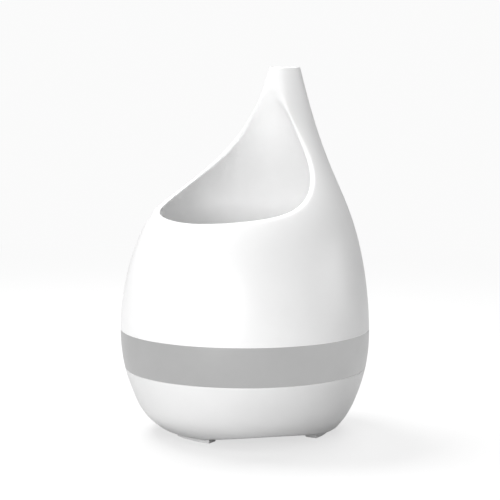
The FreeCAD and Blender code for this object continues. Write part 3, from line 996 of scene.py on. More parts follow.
@dataclass
class Cover:
    """Lift-off cover: leaning outer skin, rolled lip and smooth scoop."""

    body: str = "cover"
    half_rim: int = 60
    corner_height: float = 172.0
    corner_step: int = 26
    back_columns: int = 96
    wall_rows: int = 40
    bowl_rows: int = 22
    wall: float = 1.2
    low: float = 71.7
    top: float = 248.0
    lip_reach_out: float = 1.2
    lip_reach_in: float = 1.9
    apex_reach_out: float = 8.0
    apex_reach_in: float = 8.0
    tip_length: float = 24.0
    lip_steps: int = 7
    floor_height: float = 110.0
    floor_round: float = 20.0
    port_centre: float = 5.0
    port_radius: float = 13.0
    front_search: tuple[float, float] = (125.0, 236.0)
    apex_search: tuple[float, float] = (220.0, 240.0)
    front_end: float = 28.5
    steep_from: float = 25.5
    apex_from: float = 0.7
    neck_round: float = 1.1
    bore: float = 10.5
    flange_round: float = 0.9
    bore_round: float = 2.1
    rim: RimCurve = field(default_factory=RimCurve)

    def _front_height(self, form: LeaningForm, angle: float) -> float:
        """Height where the rim crosses a form at an angle from the front.

        Args:
            form: The form.
            angle: Radians from the front.

        Returns:
            The height.
        """

        def below(z: float) -> bool:
            """Whether the form is still under the rim at a height."""
            y = float(form.point(angle, z)[1])
            return z < self.rim.height(min(y, self.front_end))

        return crossing(*self.front_search, below)

    def _cut_angle(self, form: LeaningForm, z: float) -> float:
        """Angle from the front up to which the rim cuts a form away at a height."""
        cosine = (float(form.centre(z)) - self.rim.back(z)) / float(form.radius(z))
        return math.acos(max(-1.0, min(1.0, cosine)))

    def _apex(self, form: LeaningForm, sign: float) -> float:
        """Height where the rim's two sides meet on a form.

        Args:
            form: The form.
            sign: 1 for the outer skin in front, -1 for the scoop behind.

        Returns:
            The height.
        """

        def below(z: float) -> bool:
            """Whether the rim is still open at a height."""
            reach = float(form.centre(z)) - sign * float(form.radius(z))
            return (reach - self.rim.back(z)) * sign < 0

        return crossing(*self.apex_search, below)

    def _samples(self, form: LeaningForm, apex: float, above: bool, apex_reach: float) -> RimSamples:
        """Walk the right half of the rim from the front to the apex.

        Args:
            form: Surface that the rim lies on.
            apex: Height of the rim's highest point on it.
            above: Whether the surface lies above the apex, as the outer skin does.
            apex_reach: How far the lip reaches from the rim at the apex.

        Returns:
            The rim's points and the points where the lip starts.
        """
        corner = self._cut_angle(form, self.corner_height)
        places = []
        for k in range(self.corner_step + 1):
            angle = corner * k / self.corner_step
            z = self._front_height(form, angle) if k < self.corner_step else self.corner_height
            places.append(form.point(angle, z))
        steps = self.half_rim - self.corner_step
        for k in range(1, steps + 1):
            t = k / steps
            z = self.corner_height + (apex - self.corner_height) * math.sin(t * math.pi / 2)
            angle = self._cut_angle(form, z)
            if k == steps:
                angle = 0.0 if above else math.pi
            places.append(form.point(angle, z))
        edge = np.array(places)
        mirror = edge * np.array([-1.0, 1.0, 1.0])
        full = np.concatenate([mirror[1:2], edge, mirror[-2:-1]])
        tangent = full[2:] - full[:-2]
        tangent /= np.linalg.norm(tangent, axis=1)[:, None]
        angle = form.angle_of(edge)
        if not above:
            angle[-1] = math.pi
        step = 0.05
        across = form.point(angle + 0.01, edge[:, 2]) - form.point(angle - 0.01, edge[:, 2])
        rising = form.point(angle, edge[:, 2] + step) - form.point(angle, edge[:, 2] - step)
        normal = np.cross(across, rising)
        inward = np.cross(normal, tangent)
        inward /= np.linalg.norm(inward, axis=1)[:, None]
        along = np.arange(self.half_rim + 1) / self.half_rim
        usual = self.lip_reach_out if above else self.lip_reach_in
        reach = usual + (apex_reach - usual) * smoother((along - self.apex_from) / (1 - self.apex_from))
        away = np.where(self._into(inward, edge, above), 1.0, -1.0)
        moved = edge + inward * (away * reach)[:, None]
        if not above:
            self._narrow(edge, moved, apex, apex_reach)
        turned = form.angle_of(moved)
        turned[0] = 0.0
        turned[-1] = 0.0 if above else math.pi
        start = form.point(turned, moved[:, 2])
        return RimSamples(edge, start, turned)

    def _narrow(self, edge: np.ndarray, moved: np.ndarray, apex: float, drop: float) -> None:
        """Keep the lip's start on its own side where the scoop runs out in a tip.

        Args:
            edge: Rim points.
            moved: Lip starts, changed in place.
            apex: Height of the tip.
            drop: How far the start lies below the tip.
        """
        under = np.clip(apex - edge[:, 2], 0.0, None)
        share = np.clip(1 - under / self.tip_length, 0.0, 1.0)
        tip = smoother(share * 1.6)
        half = edge[:, 0] - np.minimum(self.lip_reach_in, edge[:, 0] * 0.5)
        level = edge[:, 2] - drop * share**2
        moved[:, 0] += (half - moved[:, 0]) * tip
        moved[:, 2] += (level - moved[:, 2]) * tip
        back = np.array([BOWL_FORM.back_y(x, z) for x, z in moved[:, [0, 2]]])
        moved[:, 1] += (back - moved[:, 1]) * tip

    def _into(self, inward: np.ndarray, edge: np.ndarray, above: bool) -> np.ndarray:
        """Whether each direction points from the rim into the surface.

        Args:
            inward: Direction at each rim point.
            edge: Rim points.
            above: Whether the surface lies above the apex.

        Returns:
            One flag per point.
        """
        probe = edge + inward * 0.5
        flags = []
        for k, (x, y, z) in enumerate(probe):
            if k == len(probe) - 1:
                flags.append((z > edge[k][2]) == above)
            elif y < self.steep_from:
                flags.append(z < self.rim.height(y))
            else:
                flags.append(y > self.rim.back(z))
        return np.array(flags)

    def _low_patch(self, draft: Draft, form: LeaningForm, rim: RimSamples, ramp: np.ndarray,
                   low: float) -> list[list[int]]:
        """Rows from a level ring up to the rim in front and the corner's height behind.

        Args:
            draft: Drawing to add to.
            form: Surface to draw.
            rim: Its rim.
            ramp: Share of the way up for each row, from 0 to 1.
            low: Height of the lowest row.

        Returns:
            Rows of point indices, each a closed ring from the front.
        """
        n = self.corner_step
        front = rim.angle[: n + 1]
        heights = rim.start[: n + 1, 2]
        corner = front[-1]
        behind = corner + (2 * math.pi - 2 * corner) * np.arange(1, self.back_columns) / self.back_columns
        angles = np.concatenate([front, behind, 2 * math.pi - front[:0:-1]])
        tops = np.concatenate([heights, np.full(len(behind), heights[-1]), heights[:0:-1]])
        rows = []
        for t in ramp:
            rows.append(draft.row(form.point(angles, low + (tops - low) * t)))
        return rows

    def _high_patch(self, draft: Draft, form: LeaningForm, rim: RimSamples,
                    first: list[int]) -> list[list[int]]:
        """Rows from the corner's height up to the apex, open at the rim.

        Args:
            draft: Drawing to add to.
            form: Surface to draw.
            rim: Its rim.
            first: Points of the lower patch that the first row shares.

        Returns:
            Rows of point indices, from the right side of the rim to the left.
        """
        share = np.arange(self.back_columns + 1) / self.back_columns
        rows = [first]
        for k in range(self.corner_step + 1, self.half_rim + 1):
            angle = rim.angle[k]
            angles = angle + (2 * math.pi - 2 * angle) * share
            rows.append(draft.row(form.point(angles, rim.start[k, 2])))
        return rows

    def _outer(self, draft: Draft, rim: RimSamples) -> tuple[list[list[int]], list[list[int]]]:
        """Outer skin up to the neck's closed top.

        Args:
            draft: Drawing to add to.
            rim: Rim of the outer skin.

        Returns:
            Rows of the lower and the upper patch.
        """
        ramp = np.linspace(0, 1, self.wall_rows + 1)
        low_rows = self._low_patch(draft, BODY_FORM, rim, ramp, self.low)
        n, b = self.corner_step, self.back_columns
        high_rows = self._high_patch(draft, BODY_FORM, rim, low_rows[-1][n : n + b + 1])
        draft.skin(low_rows, True)
        draft.skin(high_rows, False)
        self._neck(draft, rim, high_rows[-1])
        return low_rows, high_rows

    def _neck(self, draft: Draft, rim: RimSamples, first: list[int]) -> None:
        """Neck above the scoop, with a rounded top edge and a flat end.

        Args:
            draft: Drawing to add to.
            rim: Rim of the outer skin.
            first: Points that its lowest row shares.
        """
        share = np.arange(self.back_columns + 1) / self.back_columns * 2 * math.pi
        start = float(rim.start[-1, 2])
        bend = self.top - self.neck_round
        rows = [first]
        for t in np.linspace(0, 1, 7)[1:]:
            rows.append(draft.row(BODY_FORM.point(share, start + (bend - start) * t)))
        for t in quarter(6):
            form = BODY_FORM.shrunk(self.neck_round * (1 - math.cos(t)))
            rows.append(draft.row(form.point(share, bend + self.neck_round * math.sin(t))))
        for inset in (3.0, 6.0, 9.0):
            rows.append(draft.row(BODY_FORM.shrunk(inset).point(share, self.top)))
        centre = draft.row(np.array([[0.0, float(BODY_FORM.centre(self.top)), self.top]]))
        rows.append(centre * len(share))
        draft.skin(rows, False)

    def _bowl(self, draft: Draft, rim: RimSamples) -> tuple[list[list[int]], list[list[int]]]:
        """Scoop from the port in its floor up to the rim.

        Args:
            draft: Drawing to add to.
            rim: Rim of the scoop.

        Returns:
            Rows of the lower and the upper patch.
        """
        foot = self.floor_height + self.floor_round
        ramp = np.linspace(0, 1, self.bowl_rows + 1)
        low_rows = self._low_patch(draft, BOWL_FORM, rim, ramp, foot)
        n, b = self.corner_step, self.back_columns
        high_rows = self._high_patch(draft, BOWL_FORM, rim, low_rows[-1][n : n + b + 1])
        angles = BOWL_FORM.angle_of(np.array([draft.points[i] for i in low_rows[0]]))
        floor_rows = [low_rows[0]]
        for t in quarter(10):
            z = foot - self.floor_round * math.sin(t)
            ring = BOWL_FORM.shrunk(self.floor_round * (1 - math.cos(t))).point(angles, z)
            floor_rows.append(draft.row(ring))
        rim_ring = np.array([draft.points[i] for i in floor_rows[-1]])
        port = np.stack(
            [
                self.port_radius * np.sin(angles),
                self.port_centre - self.port_radius * np.cos(angles),
                np.full(len(angles), self.floor_height),
            ],
            -1,
        )
        for t in (0.3, 0.6, 0.85, 1.0):
            floor_rows.append(draft.row(rim_ring + (port - rim_ring) * t))
        draft.skin(floor_rows, True)
        draft.skin(low_rows, True, flip=True)
        draft.skin(high_rows, False, flip=True)
        return low_rows, high_rows

    def _lip(self, draft: Draft, outer: RimSamples, inner: RimSamples) -> None:
        """Rolled lip from the outer skin over to the scoop, both sides.

        Args:
            draft: Drawing to add to.
            outer: Rim of the outer skin.
            inner: Rim of the scoop.
        """
        steps = np.linspace(0, 1, self.lip_steps + 1)
        for side in (1.0, -1.0):
            turn = np.array([side, 1.0, 1.0])
            rows = []
            for k in range(self.half_rim + 1):
                a, b = outer.start[k], outer.edge[k]
                c, d = inner.edge[k], inner.start[k]
                curve = [
                    a * (1 - t) ** 3 + b * 3 * t * (1 - t) ** 2 + c * 3 * t * t * (1 - t) + d * t**3
                    for t in steps
                ]
                rows.append(draft.row(np.array(curve) * turn))
            draft.skin(rows, False, flip=side < 0)

    def build(self) -> bpy.types.Object:
        """Draw the cover as one thin wall.

        Returns:
            The cover's object.
        """
        outer_apex = self._apex(BODY_FORM, 1.0)
        inner_apex = self._apex(BOWL_FORM, -1.0)
        outer = self._samples(BODY_FORM, outer_apex, True, self.apex_reach_out)
        inner = self._samples(BOWL_FORM, inner_apex, False, self.apex_reach_in)
        draft = Draft()
        self._outer(draft, outer)
        self._bowl(draft, inner)
        self._lip(draft, outer, inner)
        made = draft.build("cover_body", weld=0.01)
        wall = made.modifiers.new("wall", "SOLIDIFY")
        wall.thickness = self.wall * MM
        wall.offset = -1
        wall.use_even_offset = False
        freeze(made)
        return crease(made, 60)

    def dress(self) -> None:
        """Build the cover's pieces and fix them."""
        shell = dress(self.build(), Palette.COVER_WHITE.material())
        settle(shell, self.body, ("cover_shell", "scoop_liner"))
        settle(self._nozzle(), self.body, ("mist_nozzle",))

    def _nozzle(self) -> bpy.types.Object:
        """Port tube with a rolled flange, centred on its CAD node.

        Returns:
            The port.
        """
        low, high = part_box("mist_nozzle")
        flange = (high.x - low.x) / 2 / MM
        y = (high.y + low.y) / 2 / MM
        foot, top = low.z / MM, high.z / MM
        floor = self.floor_height
        tube, seat = self.port_radius - 0.3, self.port_radius - 0.4
        profile = [(tube, foot), (tube, floor), (flange, floor), (flange, top - self.flange_round)]
        for t in quarter(6):
            radius = flange - self.flange_round * (1 - math.cos(t))
            profile.append((radius, top - self.flange_round + self.flange_round * math.sin(t)))
        for t in np.linspace(0, math.pi / 2, 7):
            drop = self.bore_round * (1 - math.cos(t))
            profile.append((seat - self.bore_round * math.sin(t), top - drop))
        profile += [(self.bore, foot + 0.6), (self.bore + 0.5, foot)]
        angles = turns(72)
        draft = Draft()
        loops = [
            np.stack([r * np.sin(angles), y - r * np.cos(angles), np.full(len(angles), z)], -1)
            for r, z in profile
        ]
        draft.shell(loops)
        made = crease(draft.build("mist_port"), 35)
        return dress(made, Palette.COVER_WHITE.material())


# ---------------------------------------------------------------- band


@dataclass
class LightBand:
    """Ring between cover and lower shell, bulged by a rule; a translucent diffuser, drawn dark with a
    painted glow that evens out its shading.
    """

    body: str = "base"
    low: float = 45.3
    high: float = 71.6
    wall: float = 2.4
    edge: float = 0.35
    guide: float = 100.0

    def _tree(self) -> RuleTree:
        """Ring whose radius follows a parabola through three levels of the body's form.

        Returns:
            The finished tree.
        """
        number = "NodeSocketFloat"
        tree = RuleTree(
            "Bulged band",
            (
                ("Low", number, 0.045),
                ("High", number, 0.072),
                ("Radius Low", number, 0.082),
                ("Radius Middle", number, 0.084),
                ("Radius High", number, 0.085),
                ("Lean Low", number, 0.0),
                ("Lean High", number, 0.0),
                ("Wall", number, 0.0024),
                ("Edge", number, 0.0003),
                ("Steps Around", "NodeSocketInt", 256),
                ("Steps Up", "NodeSocketInt", 14),
            ),
        )
        given = tree.given
        tall = tree.minus(given("High"), given("Low"))
        strip = tree.add(
            "GeometryNodeCurvePrimitiveQuadrilateral", Width=given("Wall"), Height=tall
        )
        rounded = tree.add(
            "GeometryNodeFilletCurve",
            {"mode": "POLY"},
            Curve=strip.outputs[0],
            Radius=given("Edge"),
            Count=4,
        )
        fine = tree.add(
            "GeometryNodeSubdivideCurve", Curve=rounded.outputs[0], Cuts=given("Steps Up")
        )
        path = tree.add(
            "GeometryNodeCurvePrimitiveCircle", Resolution=given("Steps Around"), Radius=self.guide * MM
        )
        ring = tree.add(
            "GeometryNodeCurveToMesh", Curve=path.outputs[0], Profile_Curve=fine.outputs[0]
        )
        place = tree.add("GeometryNodeInputPosition").outputs[0]
        x, y, z = tree.add("ShaderNodeSeparateXYZ", Vector=place).outputs
        flat = tree.math("SQRT", tree.plus(tree.times(x, x), tree.times(y, y)))
        share = tree.plus(tree.math("DIVIDE", z, tall), 0.5)
        spare = tree.minus(1.0, share)
        double = tree.times(share, 2.0)
        at_low = tree.times(spare, tree.minus(1.0, double), given("Radius Low"))
        at_middle = tree.times(share, spare, 4.0, given("Radius Middle"))
        at_high = tree.times(share, tree.minus(double, 1.0), given("Radius High"))
        bulge = tree.plus(at_low, at_middle, at_high)
        depth = tree.minus(flat, self.guide * MM)
        radius = tree.plus(tree.minus(bulge, tree.times(given("Wall"), 0.5)), depth)
        stretch = tree.math("DIVIDE", radius, flat)
        lean = tree.plus(tree.times(given("Lean Low"), spare), tree.times(given("Lean High"), share))
        new_x = tree.times(x, stretch)
        new_y = tree.plus(tree.times(y, stretch), lean)
        level = tree.plus(tree.times(share, tall), given("Low"))
        moved = tree.add(
            "GeometryNodeSetPosition",
            Geometry=ring.outputs[0],
            Position=tree.vector(new_x, new_y, level),
        )
        tree.close(moved.outputs[0], Palette.BAND_PAINTED_GLOW.material())
        return tree

    def dress(self) -> None:
        """Grow the band and fix it."""
        middle = (self.low + self.high) / 2
        made = self._tree().grow(
            "light_ring",
            Low=self.low * MM,
            High=self.high * MM,
            Radius_Low=float(BODY_FORM.radius(self.low)) * MM,
            Radius_Middle=float(BODY_FORM.radius(middle)) * MM,
            Radius_High=float(BODY_FORM.radius(self.high)) * MM,
            Lean_Low=float(BODY_FORM.centre(self.low)) * MM,
            Lean_High=float(BODY_FORM.centre(self.high)) * MM,
            Wall=self.wall * MM,
            Edge=self.edge * MM,
        )
        settle(crease(made, 50), self.body, ("light_band",))


# ---------------------------------------------------------------- base


@dataclass
class BaseShell:
    """Lower shell with three shallow arches in its edge and holes at the back."""

    body: str = "base"
    low: float = 4.0
    high: float = 45.2
    wall: float = 2.2
    arch_top: float = 8.6
    arch_radius: float = 190.0
    feet_turn: float = -9.0
    feet_centre: float = 5.5
    columns: int = 288
    rows: int = 26
    top_round: float = 0.3
    arch_blend: float = 3.0
    button_hole: float = 5.8
    inlet_hole: float = 5.2
    cutter: tuple[float, float] = (60.0, 95.0)

    def _edge_height(self, angles: np.ndarray) -> np.ndarray:
        """Height of the arched lower edge at each angle from the front.

        Args:
            angles: Radians from the front.

        Returns:
            Height of the edge.
        """
        height = np.full(len(angles), self.low)
        for _ in range(4):
            place = BODY_FORM.point(angles, height)
            x, y = place[:, 0], place[:, 1] - self.feet_centre
            height = np.full(len(angles), self.low)
            for step in range(3):
                facing = math.radians(self.feet_turn + 60 + 120 * step)
                out_x, out_y = math.sin(facing), -math.cos(facing)
                along = x * out_x + y * out_y
                across = x * out_y - y * out_x
                drop = np.sqrt(np.maximum(self.arch_radius**2 - across**2, 0))
                arch = self.arch_top - self.arch_radius + drop
                arch = np.where(along > 0, arch, self.low)
                blend = np.logaddexp(height * self.arch_blend, arch * self.arch_blend) / self.arch_blend
                height = np.where(along > 0, blend, height)
        return height

    def _wall(self) -> bpy.types.Object:
        """Ring-shaped wall with a rounded lower edge.

        Returns:
            The wall.
        """
        angles = turns(self.columns)
        edge = self._edge_height(angles)
        half = self.wall / 2
        bend = self.high - self.top_round
        loops = []
        for t in np.linspace(0, 1, self.rows + 1) ** 1.3:
            loops.append(BODY_FORM.point(angles, edge + half + (bend - edge - half) * t))
        for t in quarter(4):
            form = BODY_FORM.shrunk(self.top_round * (1 - math.cos(t)))
            loops.append(form.point(angles, bend + self.top_round * math.sin(t)))
        inner = BODY_FORM.shrunk(self.wall)
        for t in np.linspace(1, 0, self.rows + 1) ** 1.3:
            loops.append(inner.point(angles, edge + half + (self.high - edge - half) * t))
        for t in np.linspace(0, math.pi, 9)[1:-1]:
            inset = half + half * math.cos(t)
            loops.append(BODY_FORM.shrunk(inset).point(angles, edge + half - half * math.sin(t)))
        draft = Draft()
        draft.shell(loops)
        return draft.build("lower_shell")

    def _cut_holes(self, made: bpy.types.Object, holes: Sequence[tuple[float, float, float]]) -> None:
        """Cut round holes through the back wall.

        Args:
            made: The shell.
            holes: (x, z, radius) of each hole.
        """
        draft = Draft()
        for x, z, radius in holes:
            ends = [draft.row(upright_ring((x, z), radius, y, 48)) for y in self.cutter]
            draft.skin(ends, True)
            draft.cap(ends[0])
            draft.cap(ends[1], flip=True)
        cutter = draft.build("hole_cutter")
        cut = made.modifiers.new("holes", "BOOLEAN")
        cut.operation = "DIFFERENCE"
        cut.solver = "EXACT"
        cut.object = cutter
        freeze(made)
        bpy.data.objects.remove(cutter)

    def dress(self) -> None:
        """Build the shell and fix it."""
        made = self._wall()
        sizes = {
            "mist_button": self.button_hole,
            "light_button": self.button_hole,
            "dc_jack": self.inlet_hole,
        }
        holes = [(*axis_of(node), radius) for node, radius in sizes.items()]
        self._cut_holes(made, holes)
        # The base's darker white is painted shade, not a different plastic.
        dress(crease(made, 40), Palette.BASE_WHITE_PAINTED_SHADE.material())
        settle(made, self.body, ("base_shell",))


@dataclass
class ArcFeet:
    """Three soft pads on arcs of the foot ring."""

    body: str = "base"
    mean_radius: float = 50.0
    width: float = 8.6
    centre: float = 5.5
    turn: float = -9.0
    half_angle: float = 17.2
    high: float = 1.2
    edge: float = 0.45

    def _tree(self, material: bpy.types.Material) -> RuleTree:
        """Arc swept with a rounded section and repeated round the base.

        Args:
            material: Material of the pads.

        Returns:
            The finished tree.
        """
        number = "NodeSocketFloat"
        tree = RuleTree(
            "Arc feet",
            (
                ("Radius", number, 0.05),
                ("Width", number, 0.009),
                ("Low", number, 0.0),
                ("High", number, 0.0012),
                ("Edge", number, 0.0004),
                ("Centre", number, 0.0055),
                ("Turn", number, 0.0),
                ("Half Angle", number, 0.3),
                ("Count", "NodeSocketInt", 3),
            ),
        )
        given = tree.given
        tall = tree.minus(given("High"), given("Low"))
        section = tree.add(
            "GeometryNodeCurvePrimitiveQuadrilateral", Width=given("Width"), Height=tall
        )
        rounded = tree.add(
            "GeometryNodeFilletCurve", {"mode": "POLY"}, Curve=section.outputs[0],
            Radius=given("Edge"), Count=4,
        )
        start = tree.minus(-math.pi / 2, given("Half Angle"))
        sweep = tree.times(given("Half Angle"), 2.0)
        arc = tree.add(
            "GeometryNodeCurveArc", Resolution=40, Radius=given("Radius"), Start_Angle=start,
            Sweep_Angle=sweep,
        )
        foot = tree.add(
            "GeometryNodeCurveToMesh", Curve=arc.outputs[0], Profile_Curve=rounded.outputs[0],
            Fill_Caps=True,
        )
        points = tree.add("GeometryNodePoints", Count=given("Count"))
        index = tree.add("GeometryNodeInputIndex").outputs[0]
        share = tree.math("DIVIDE", tree.times(index, 2 * math.pi), given("Count"))
        facing = tree.vector(0.0, 0.0, tree.plus(share, given("Turn")))
        placed = tree.add(
            "GeometryNodeInstanceOnPoints", Points=points.outputs[0], Instance=foot.outputs[0],
            Rotation=facing,
        )
        level = tree.times(tree.plus(given("Low"), given("High")), 0.5)
        moved = tree.add(
            "GeometryNodeTranslateInstances", Instances=placed.outputs[0],
            Translation=tree.vector(0.0, given("Centre"), level), Local_Space=False,
        )
        tree.close(moved.outputs[0], material)
        return tree

    def dress(self) -> None:
        """Grow the pads and fix them."""
        made = self._tree(Palette.PAD_GREY.material()).grow(
            "soft_pads",
            Radius=self.mean_radius * MM,
            Width=self.width * MM,
            Low=0.0,
            High=self.high * MM,
            Edge=self.edge * MM,
            Centre=self.centre * MM,
            Turn=math.radians(self.turn),
            Half_Angle=math.radians(self.half_angle),
        )
        settle(crease(made, 50), self.body, ("foot_pads",))


class Mark(Enum):
    """Plain raised sign on a button."""

    DROP = "drop"
    GLOW = "glow"


@dataclass
class PressButton:
    """Round key that follows the shell's curve, with a dished face and a raised sign."""

    node: str
    mark: Mark
    cap: float = 5.5
    flange: float = 7.0
    proud: float = 0.8
    dish: float = 0.5
    edge: float = 0.5
    flange_thick: float = 1.2
    around: int = 72
    ring: float = 1.5
    drop_round: float = 1.25
    drop_tip: float = 0.95
    drop_down: float = 0.35
    bead: float = 0.3

    def _face(self, radii: np.ndarray, x: float, z: float, sink: np.ndarray) -> list[np.ndarray]:
        """Rings on the outer face, from the centre out.

        Args:
            radii: Radius of each ring.
            x: Side position of the key's axis.
            z: Height of the key's axis.
            sink: How far each ring lies under the proud surface.

        Returns:
            One array of points per ring.
        """
        turn = turns(self.around)
        rings = []
        for radius, down in zip(radii, sink):
            px, pz = x + radius * np.cos(turn), z + radius * np.sin(turn)
            py = [BODY_FORM.back_y(a, b) + self.proud - down for a, b in zip(px, pz)]
            rings.append(np.stack([px, np.array(py), pz], -1))
        return rings

    def _sign(self, draft: Draft, x: float, z: float) -> None:
        """Raised bead: a drop's outline, or a ring.

        Args:
            draft: Drawing to add to.
            x: Side position of the key's axis.
            z: Height of the key's axis.
        """
        turn = turns(48)
        if self.mark is Mark.DROP:
            reach = self.drop_round + self.drop_tip * np.clip(np.sin(turn), 0, 1) ** 6
            px, pz = reach * np.cos(turn), reach * np.sin(turn) - self.drop_down
        else:
            px, pz = self.ring * np.cos(turn), self.ring * np.sin(turn)
        path = np.stack([px, pz], -1)
        ahead = np.roll(path, -1, 0) - np.roll(path, 1, 0)
        normal = np.stack([ahead[:, 1], -ahead[:, 0]], -1)
        normal /= np.linalg.norm(normal, axis=1)[:, None]
        loops = []
        for t in turns(8):
            place = path + normal * self.bead * math.cos(t)
            gx, gz = x + place[:, 0], z + place[:, 1]
            base = [BODY_FORM.back_y(a, b) + self.proud - self.dish for a, b in zip(gx, gz)]
            loops.append(np.stack([gx, np.array(base) + self.bead * math.sin(t), gz], -1))
        draft.shell(loops)

    def dress(self) -> None:
        """Build the key in place of its CAD node and fix it."""
        x, z = axis_of(self.node)
        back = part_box(self.node)[0].y / MM
        inner = np.array([0.0, 1.2, 2.4, 3.4, 4.1, 4.6])
        rounding = np.linspace(0, math.pi / 2, 6)
        radii = list(inner) + [self.cap - self.edge * (1 - math.sin(t)) for t in rounding]
        sink = list(self.dish * (1 - smoother((inner - inner[2]) / (inner[-1] - inner[2]))))
        sink += [self.edge * (1 - math.cos(t)) for t in rounding]
        rings = self._face(np.array(radii), x, z, np.array(sink))
        step = back + self.flange_thick
        for radius, y in ((self.cap, step), (self.flange, step), (self.flange, back), (0.0, back)):
            rings.append(upright_ring((x, z), radius, y, self.around))
        draft = Draft()
        draft.skin([draft.row(ring) for ring in rings], True)
        self._sign(draft, x, z)
        made = crease(draft.build(self.node + "_key"), 40)
        dress(made, Palette.BUTTON_WHITE.material())
        settle(made, self.node, (self.node,))


# ---------------------------------------------------------------- inside


class CarriedParts:
    """CAD nodes that keep their shape and get a finish."""

    FINISHES = {
        "cover_ring": Palette.COVER_WHITE,
        "bottom_cover": Palette.PLATE_WHITE,
        "reservoir": Palette.BASIN_CLEAR,
        "reservoir_seal": Palette.SEAL,
        "transducer_seal": Palette.SEAL,
        "transducer_disc": Palette.CERAMIC,
        "transducer_clamp": Palette.DARK,
        "transducer_screws": Palette.STEEL,
        "fan_housing": Palette.FAN,
        "fan_stator": Palette.COPPER,
        "fan_rotor": Palette.FAN,
        "fan_screws": Palette.STEEL,
        "air_duct": Palette.DARK,
        "driver_board": Palette.BOARD,
        "board_components": Palette.PARTS,
        "heat_sink": Palette.SINK,
        "board_screws": Palette.STEEL,
        "led_board": Palette.WHITE_BOARD,
        "leds": Palette.LAMP,
        "button_board": Palette.BOARD,
        "button_switches": Palette.PARTS,
        "mist_button": Palette.BUTTON_WHITE,
        "light_button": Palette.BUTTON_WHITE,
        "dc_jack": Palette.JACK,
        "base_screws": Palette.STEEL,
        "power_lead": Palette.RED_WIRE,
        "control_lead": Palette.PALE_WIRE,
        "transducer_lead": Palette.PALE_WIRE,
        "float_ring": Palette.FLOAT,
        "float_magnet": Palette.MAGNET,
        "float_clip": Palette.COVER_WHITE,
        "level_sensor": Palette.GLASS,
        "cover_shell": Palette.COVER_WHITE,
        "scoop_liner": Palette.COVER_WHITE,
        "mist_nozzle": Palette.COVER_WHITE,
        "base_shell": Palette.BASE_WHITE_PAINTED_SHADE,
        "light_band": Palette.BAND_PAINTED_GLOW,
        "foot_pads": Palette.PAD_GREY,
    }

    def dress(self) -> None:
        """Paint every CAD node."""
        for name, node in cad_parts.items():
            finish = self.FINISHES[name]
            slots = node.material_slots
            if not slots:
                node.data.materials.append(finish.material())
            for slot in slots:
                slot.material = finish.material()
        LOG.info("finishes on %d CAD nodes", len(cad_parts))


# ---------------------------------------------------------------- studio


@dataclass(frozen=True)
class Lamp:
    """One soft rectangular light aimed at the middle of the body."""

    name: str
    azimuth: float
    elevation: float
    watts: float
    away: float = 1.3
    wide: float = 0.7
    tall: float = 0.45

    def build(self, aim: Vector) -> None:
        """Put the light in the scene.

        Args:
            aim: Point that it faces.
        """
        data = bpy.data.lights.new(self.name, "AREA")
        data.shape = "RECTANGLE"
        data.size = self.wide
        data.size_y = self.tall
        data.energy = self.watts
        made = bpy.data.objects.new(self.name, data)
        bpy.context.scene.collection.objects.link(made)
        made.location = aim + towards(self.azimuth, self.elevation) * self.away
        made.rotation_mode = "QUATERNION"
        made.rotation_quaternion = (aim - made.location).to_track_quat("-Z", "Y")


def towards(azimuth: float, elevation: float) -> Vector:
    """Unit direction at an azimuth from the front and an elevation, in degrees.

    Args:
        azimuth: Degrees from the front, through the right side.
        elevation: Degrees up from level.

    Returns:
        The direction.
    """
    turn, tilt = math.radians(azimuth), math.radians(elevation)
    flat = math.cos(tilt)
    return Vector((math.sin(turn) * flat, -math.cos(turn) * flat, math.sin(tilt)))


@dataclass(frozen=True)
class FloorFinish(Finish):
    """Pale floor whose look to the camera fades evenly into the surround."""

    seen_tone: Grey = (0.28, 0.28, 0.28, 1)
    lift: float = 0.66
    far_lift: float = 0.96
    near: float = 0.25
    far: float = 1.1

    def paint(self, sheet: NodeSheet, shader: bpy.types.Node) -> None:
        """Wire the plain finish, then even it out for camera rays only.

        Args:
            sheet: Sheet on the material's tree.
            shader: Its Principled BSDF.
        """
        super().paint(sheet, shader)
        away = sheet.add("ShaderNodeVectorMath", {"operation": "LENGTH"}, Vector=sheet.place())
        fade = sheet.add(
            "ShaderNodeMapRange",
            {"interpolation_type": "SMOOTHSTEP"},
            Value=away.outputs["Value"],
            From_Min=self.near,
            From_Max=self.far,
        ).outputs[0]
        seen = sheet.add("ShaderNodeLightPath").outputs["Is Camera Ray"]
        look = sheet.blend(fade, self.seen_tone, (0, 0, 0, 1))
        plain = shader.inputs["Base Color"].links[0].from_socket
        sheet.feed(shader.inputs["Base Color"], sheet.blend(seen, plain, look))
        shader.inputs["Emission Color"].default_value = (1, 1, 1, 1)
        extra = sheet.times(fade, self.far_lift - self.lift)
        lift = sheet.times(seen, sheet.plus(extra, self.lift))
        sheet.feed(shader.inputs["Emission Strength"], lift)


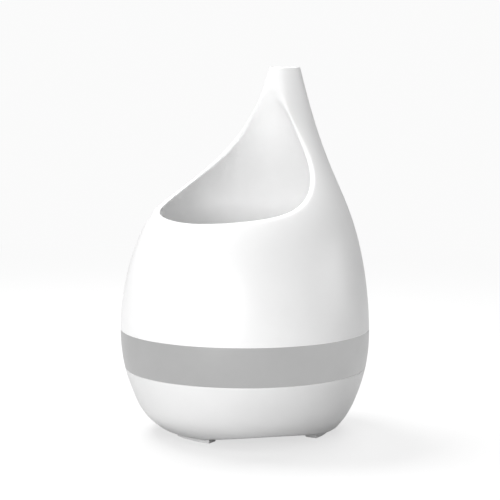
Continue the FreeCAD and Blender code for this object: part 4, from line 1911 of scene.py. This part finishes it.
@dataclass
class Studio:
    """Pale floor, soft light and the camera."""

    azimuth: float = 38.57
    elevation: float = 6.91
    distance: float = 1.2142
    target_height: float = 0.123
    lens: float = 128.49
    shift_x: float = 0.01022
    shift_y: float = 0.00478
    surround: float = 0.25
    floor_half: float = 6000.0
    aim_height: float = 0.11
    floor: FloorFinish = FloorFinish(
        "Studio floor", grey(0.55), grey(0.54), 0.9, 0.02, 3.0, grain_depth=0.00002, specular=0.0
    )
    lamps: tuple[Lamp, ...] = (
        Lamp("key", -90.0, 60.0, 17.0),
        Lamp("front", 15.0, 10.0, 12.8),
        Lamp("edge", 130.0, 10.0, 2.7),
        Lamp("rear_top", 180.0, 60.0, 7.0),
    )

    def _floor(self) -> None:
        """Floor that runs out of sight."""
        draft = Draft()
        size = self.floor_half
        corners = [(-size, -size, 0), (size, -size, 0), (size, size, 0), (-size, size, 0)]
        draft.faces.append(tuple(draft.row(np.array(corners))))
        dress(draft.build("studio_floor"), self.floor.material())

    def _camera(self) -> None:
        """Camera at the viewing angle of a product shot."""
        data = bpy.data.cameras.new("camera")
        camera = bpy.data.objects.new("camera", data)
        bpy.context.scene.collection.objects.link(camera)
        bpy.context.scene.camera = camera
        back = towards(self.azimuth, self.elevation)
        camera.location = Vector((0, 0, self.target_height)) + back * self.distance
        camera.rotation_mode = "QUATERNION"
        camera.rotation_quaternion = (-back).to_track_quat("-Z", "Y")
        data.sensor_width = 36.0
        data.lens = self.lens
        data.shift_x = self.shift_x
        data.shift_y = self.shift_y
        data.clip_start = 0.01
        data.clip_end = 50.0

    def _surround(self) -> None:
        """White surround that lights softly and looks fully white."""
        world = bpy.data.worlds.new("surround")
        bpy.context.scene.world = world
        world.use_nodes = True
        sheet = NodeSheet(world.node_tree)
        plain = world.node_tree.nodes["Background"]
        plain.inputs["Color"].default_value = (1, 1, 1, 1)
        plain.inputs["Strength"].default_value = self.surround
        backdrop = sheet.add("ShaderNodeBackground", Color=(1, 1, 1, 1), Strength=self.floor.far_lift)
        seen = sheet.add("ShaderNodeLightPath").outputs["Is Camera Ray"]
        mix = sheet.add("ShaderNodeMixShader", Fac=seen)
        world.node_tree.links.new(plain.outputs[0], mix.inputs[1])
        world.node_tree.links.new(backdrop.outputs[0], mix.inputs[2])
        out = world.node_tree.nodes["World Output"]
        world.node_tree.links.new(mix.outputs[0], out.inputs["Surface"])

    def dress(self) -> None:
        """Set the stage."""
        self._floor()
        self._camera()
        self._surround()
        for lamp in self.lamps:
            lamp.build(Vector((0, 0, self.aim_height)))
        bpy.context.scene.view_settings.view_transform = "Standard"


def main() -> None:
    """Build every sub-assembly in order."""
    logging.basicConfig(level=logging.INFO, format="%(name)s: %(message)s")
    CarriedParts().dress()
    keys = (PressButton("mist_button", Mark.DROP), PressButton("light_button", Mark.GLOW))
    for part in (Cover(), LightBand(), BaseShell(), ArcFeet(), *keys):
        part.dress()
    Studio().dress()


if __name__ == "__main__":
    main()
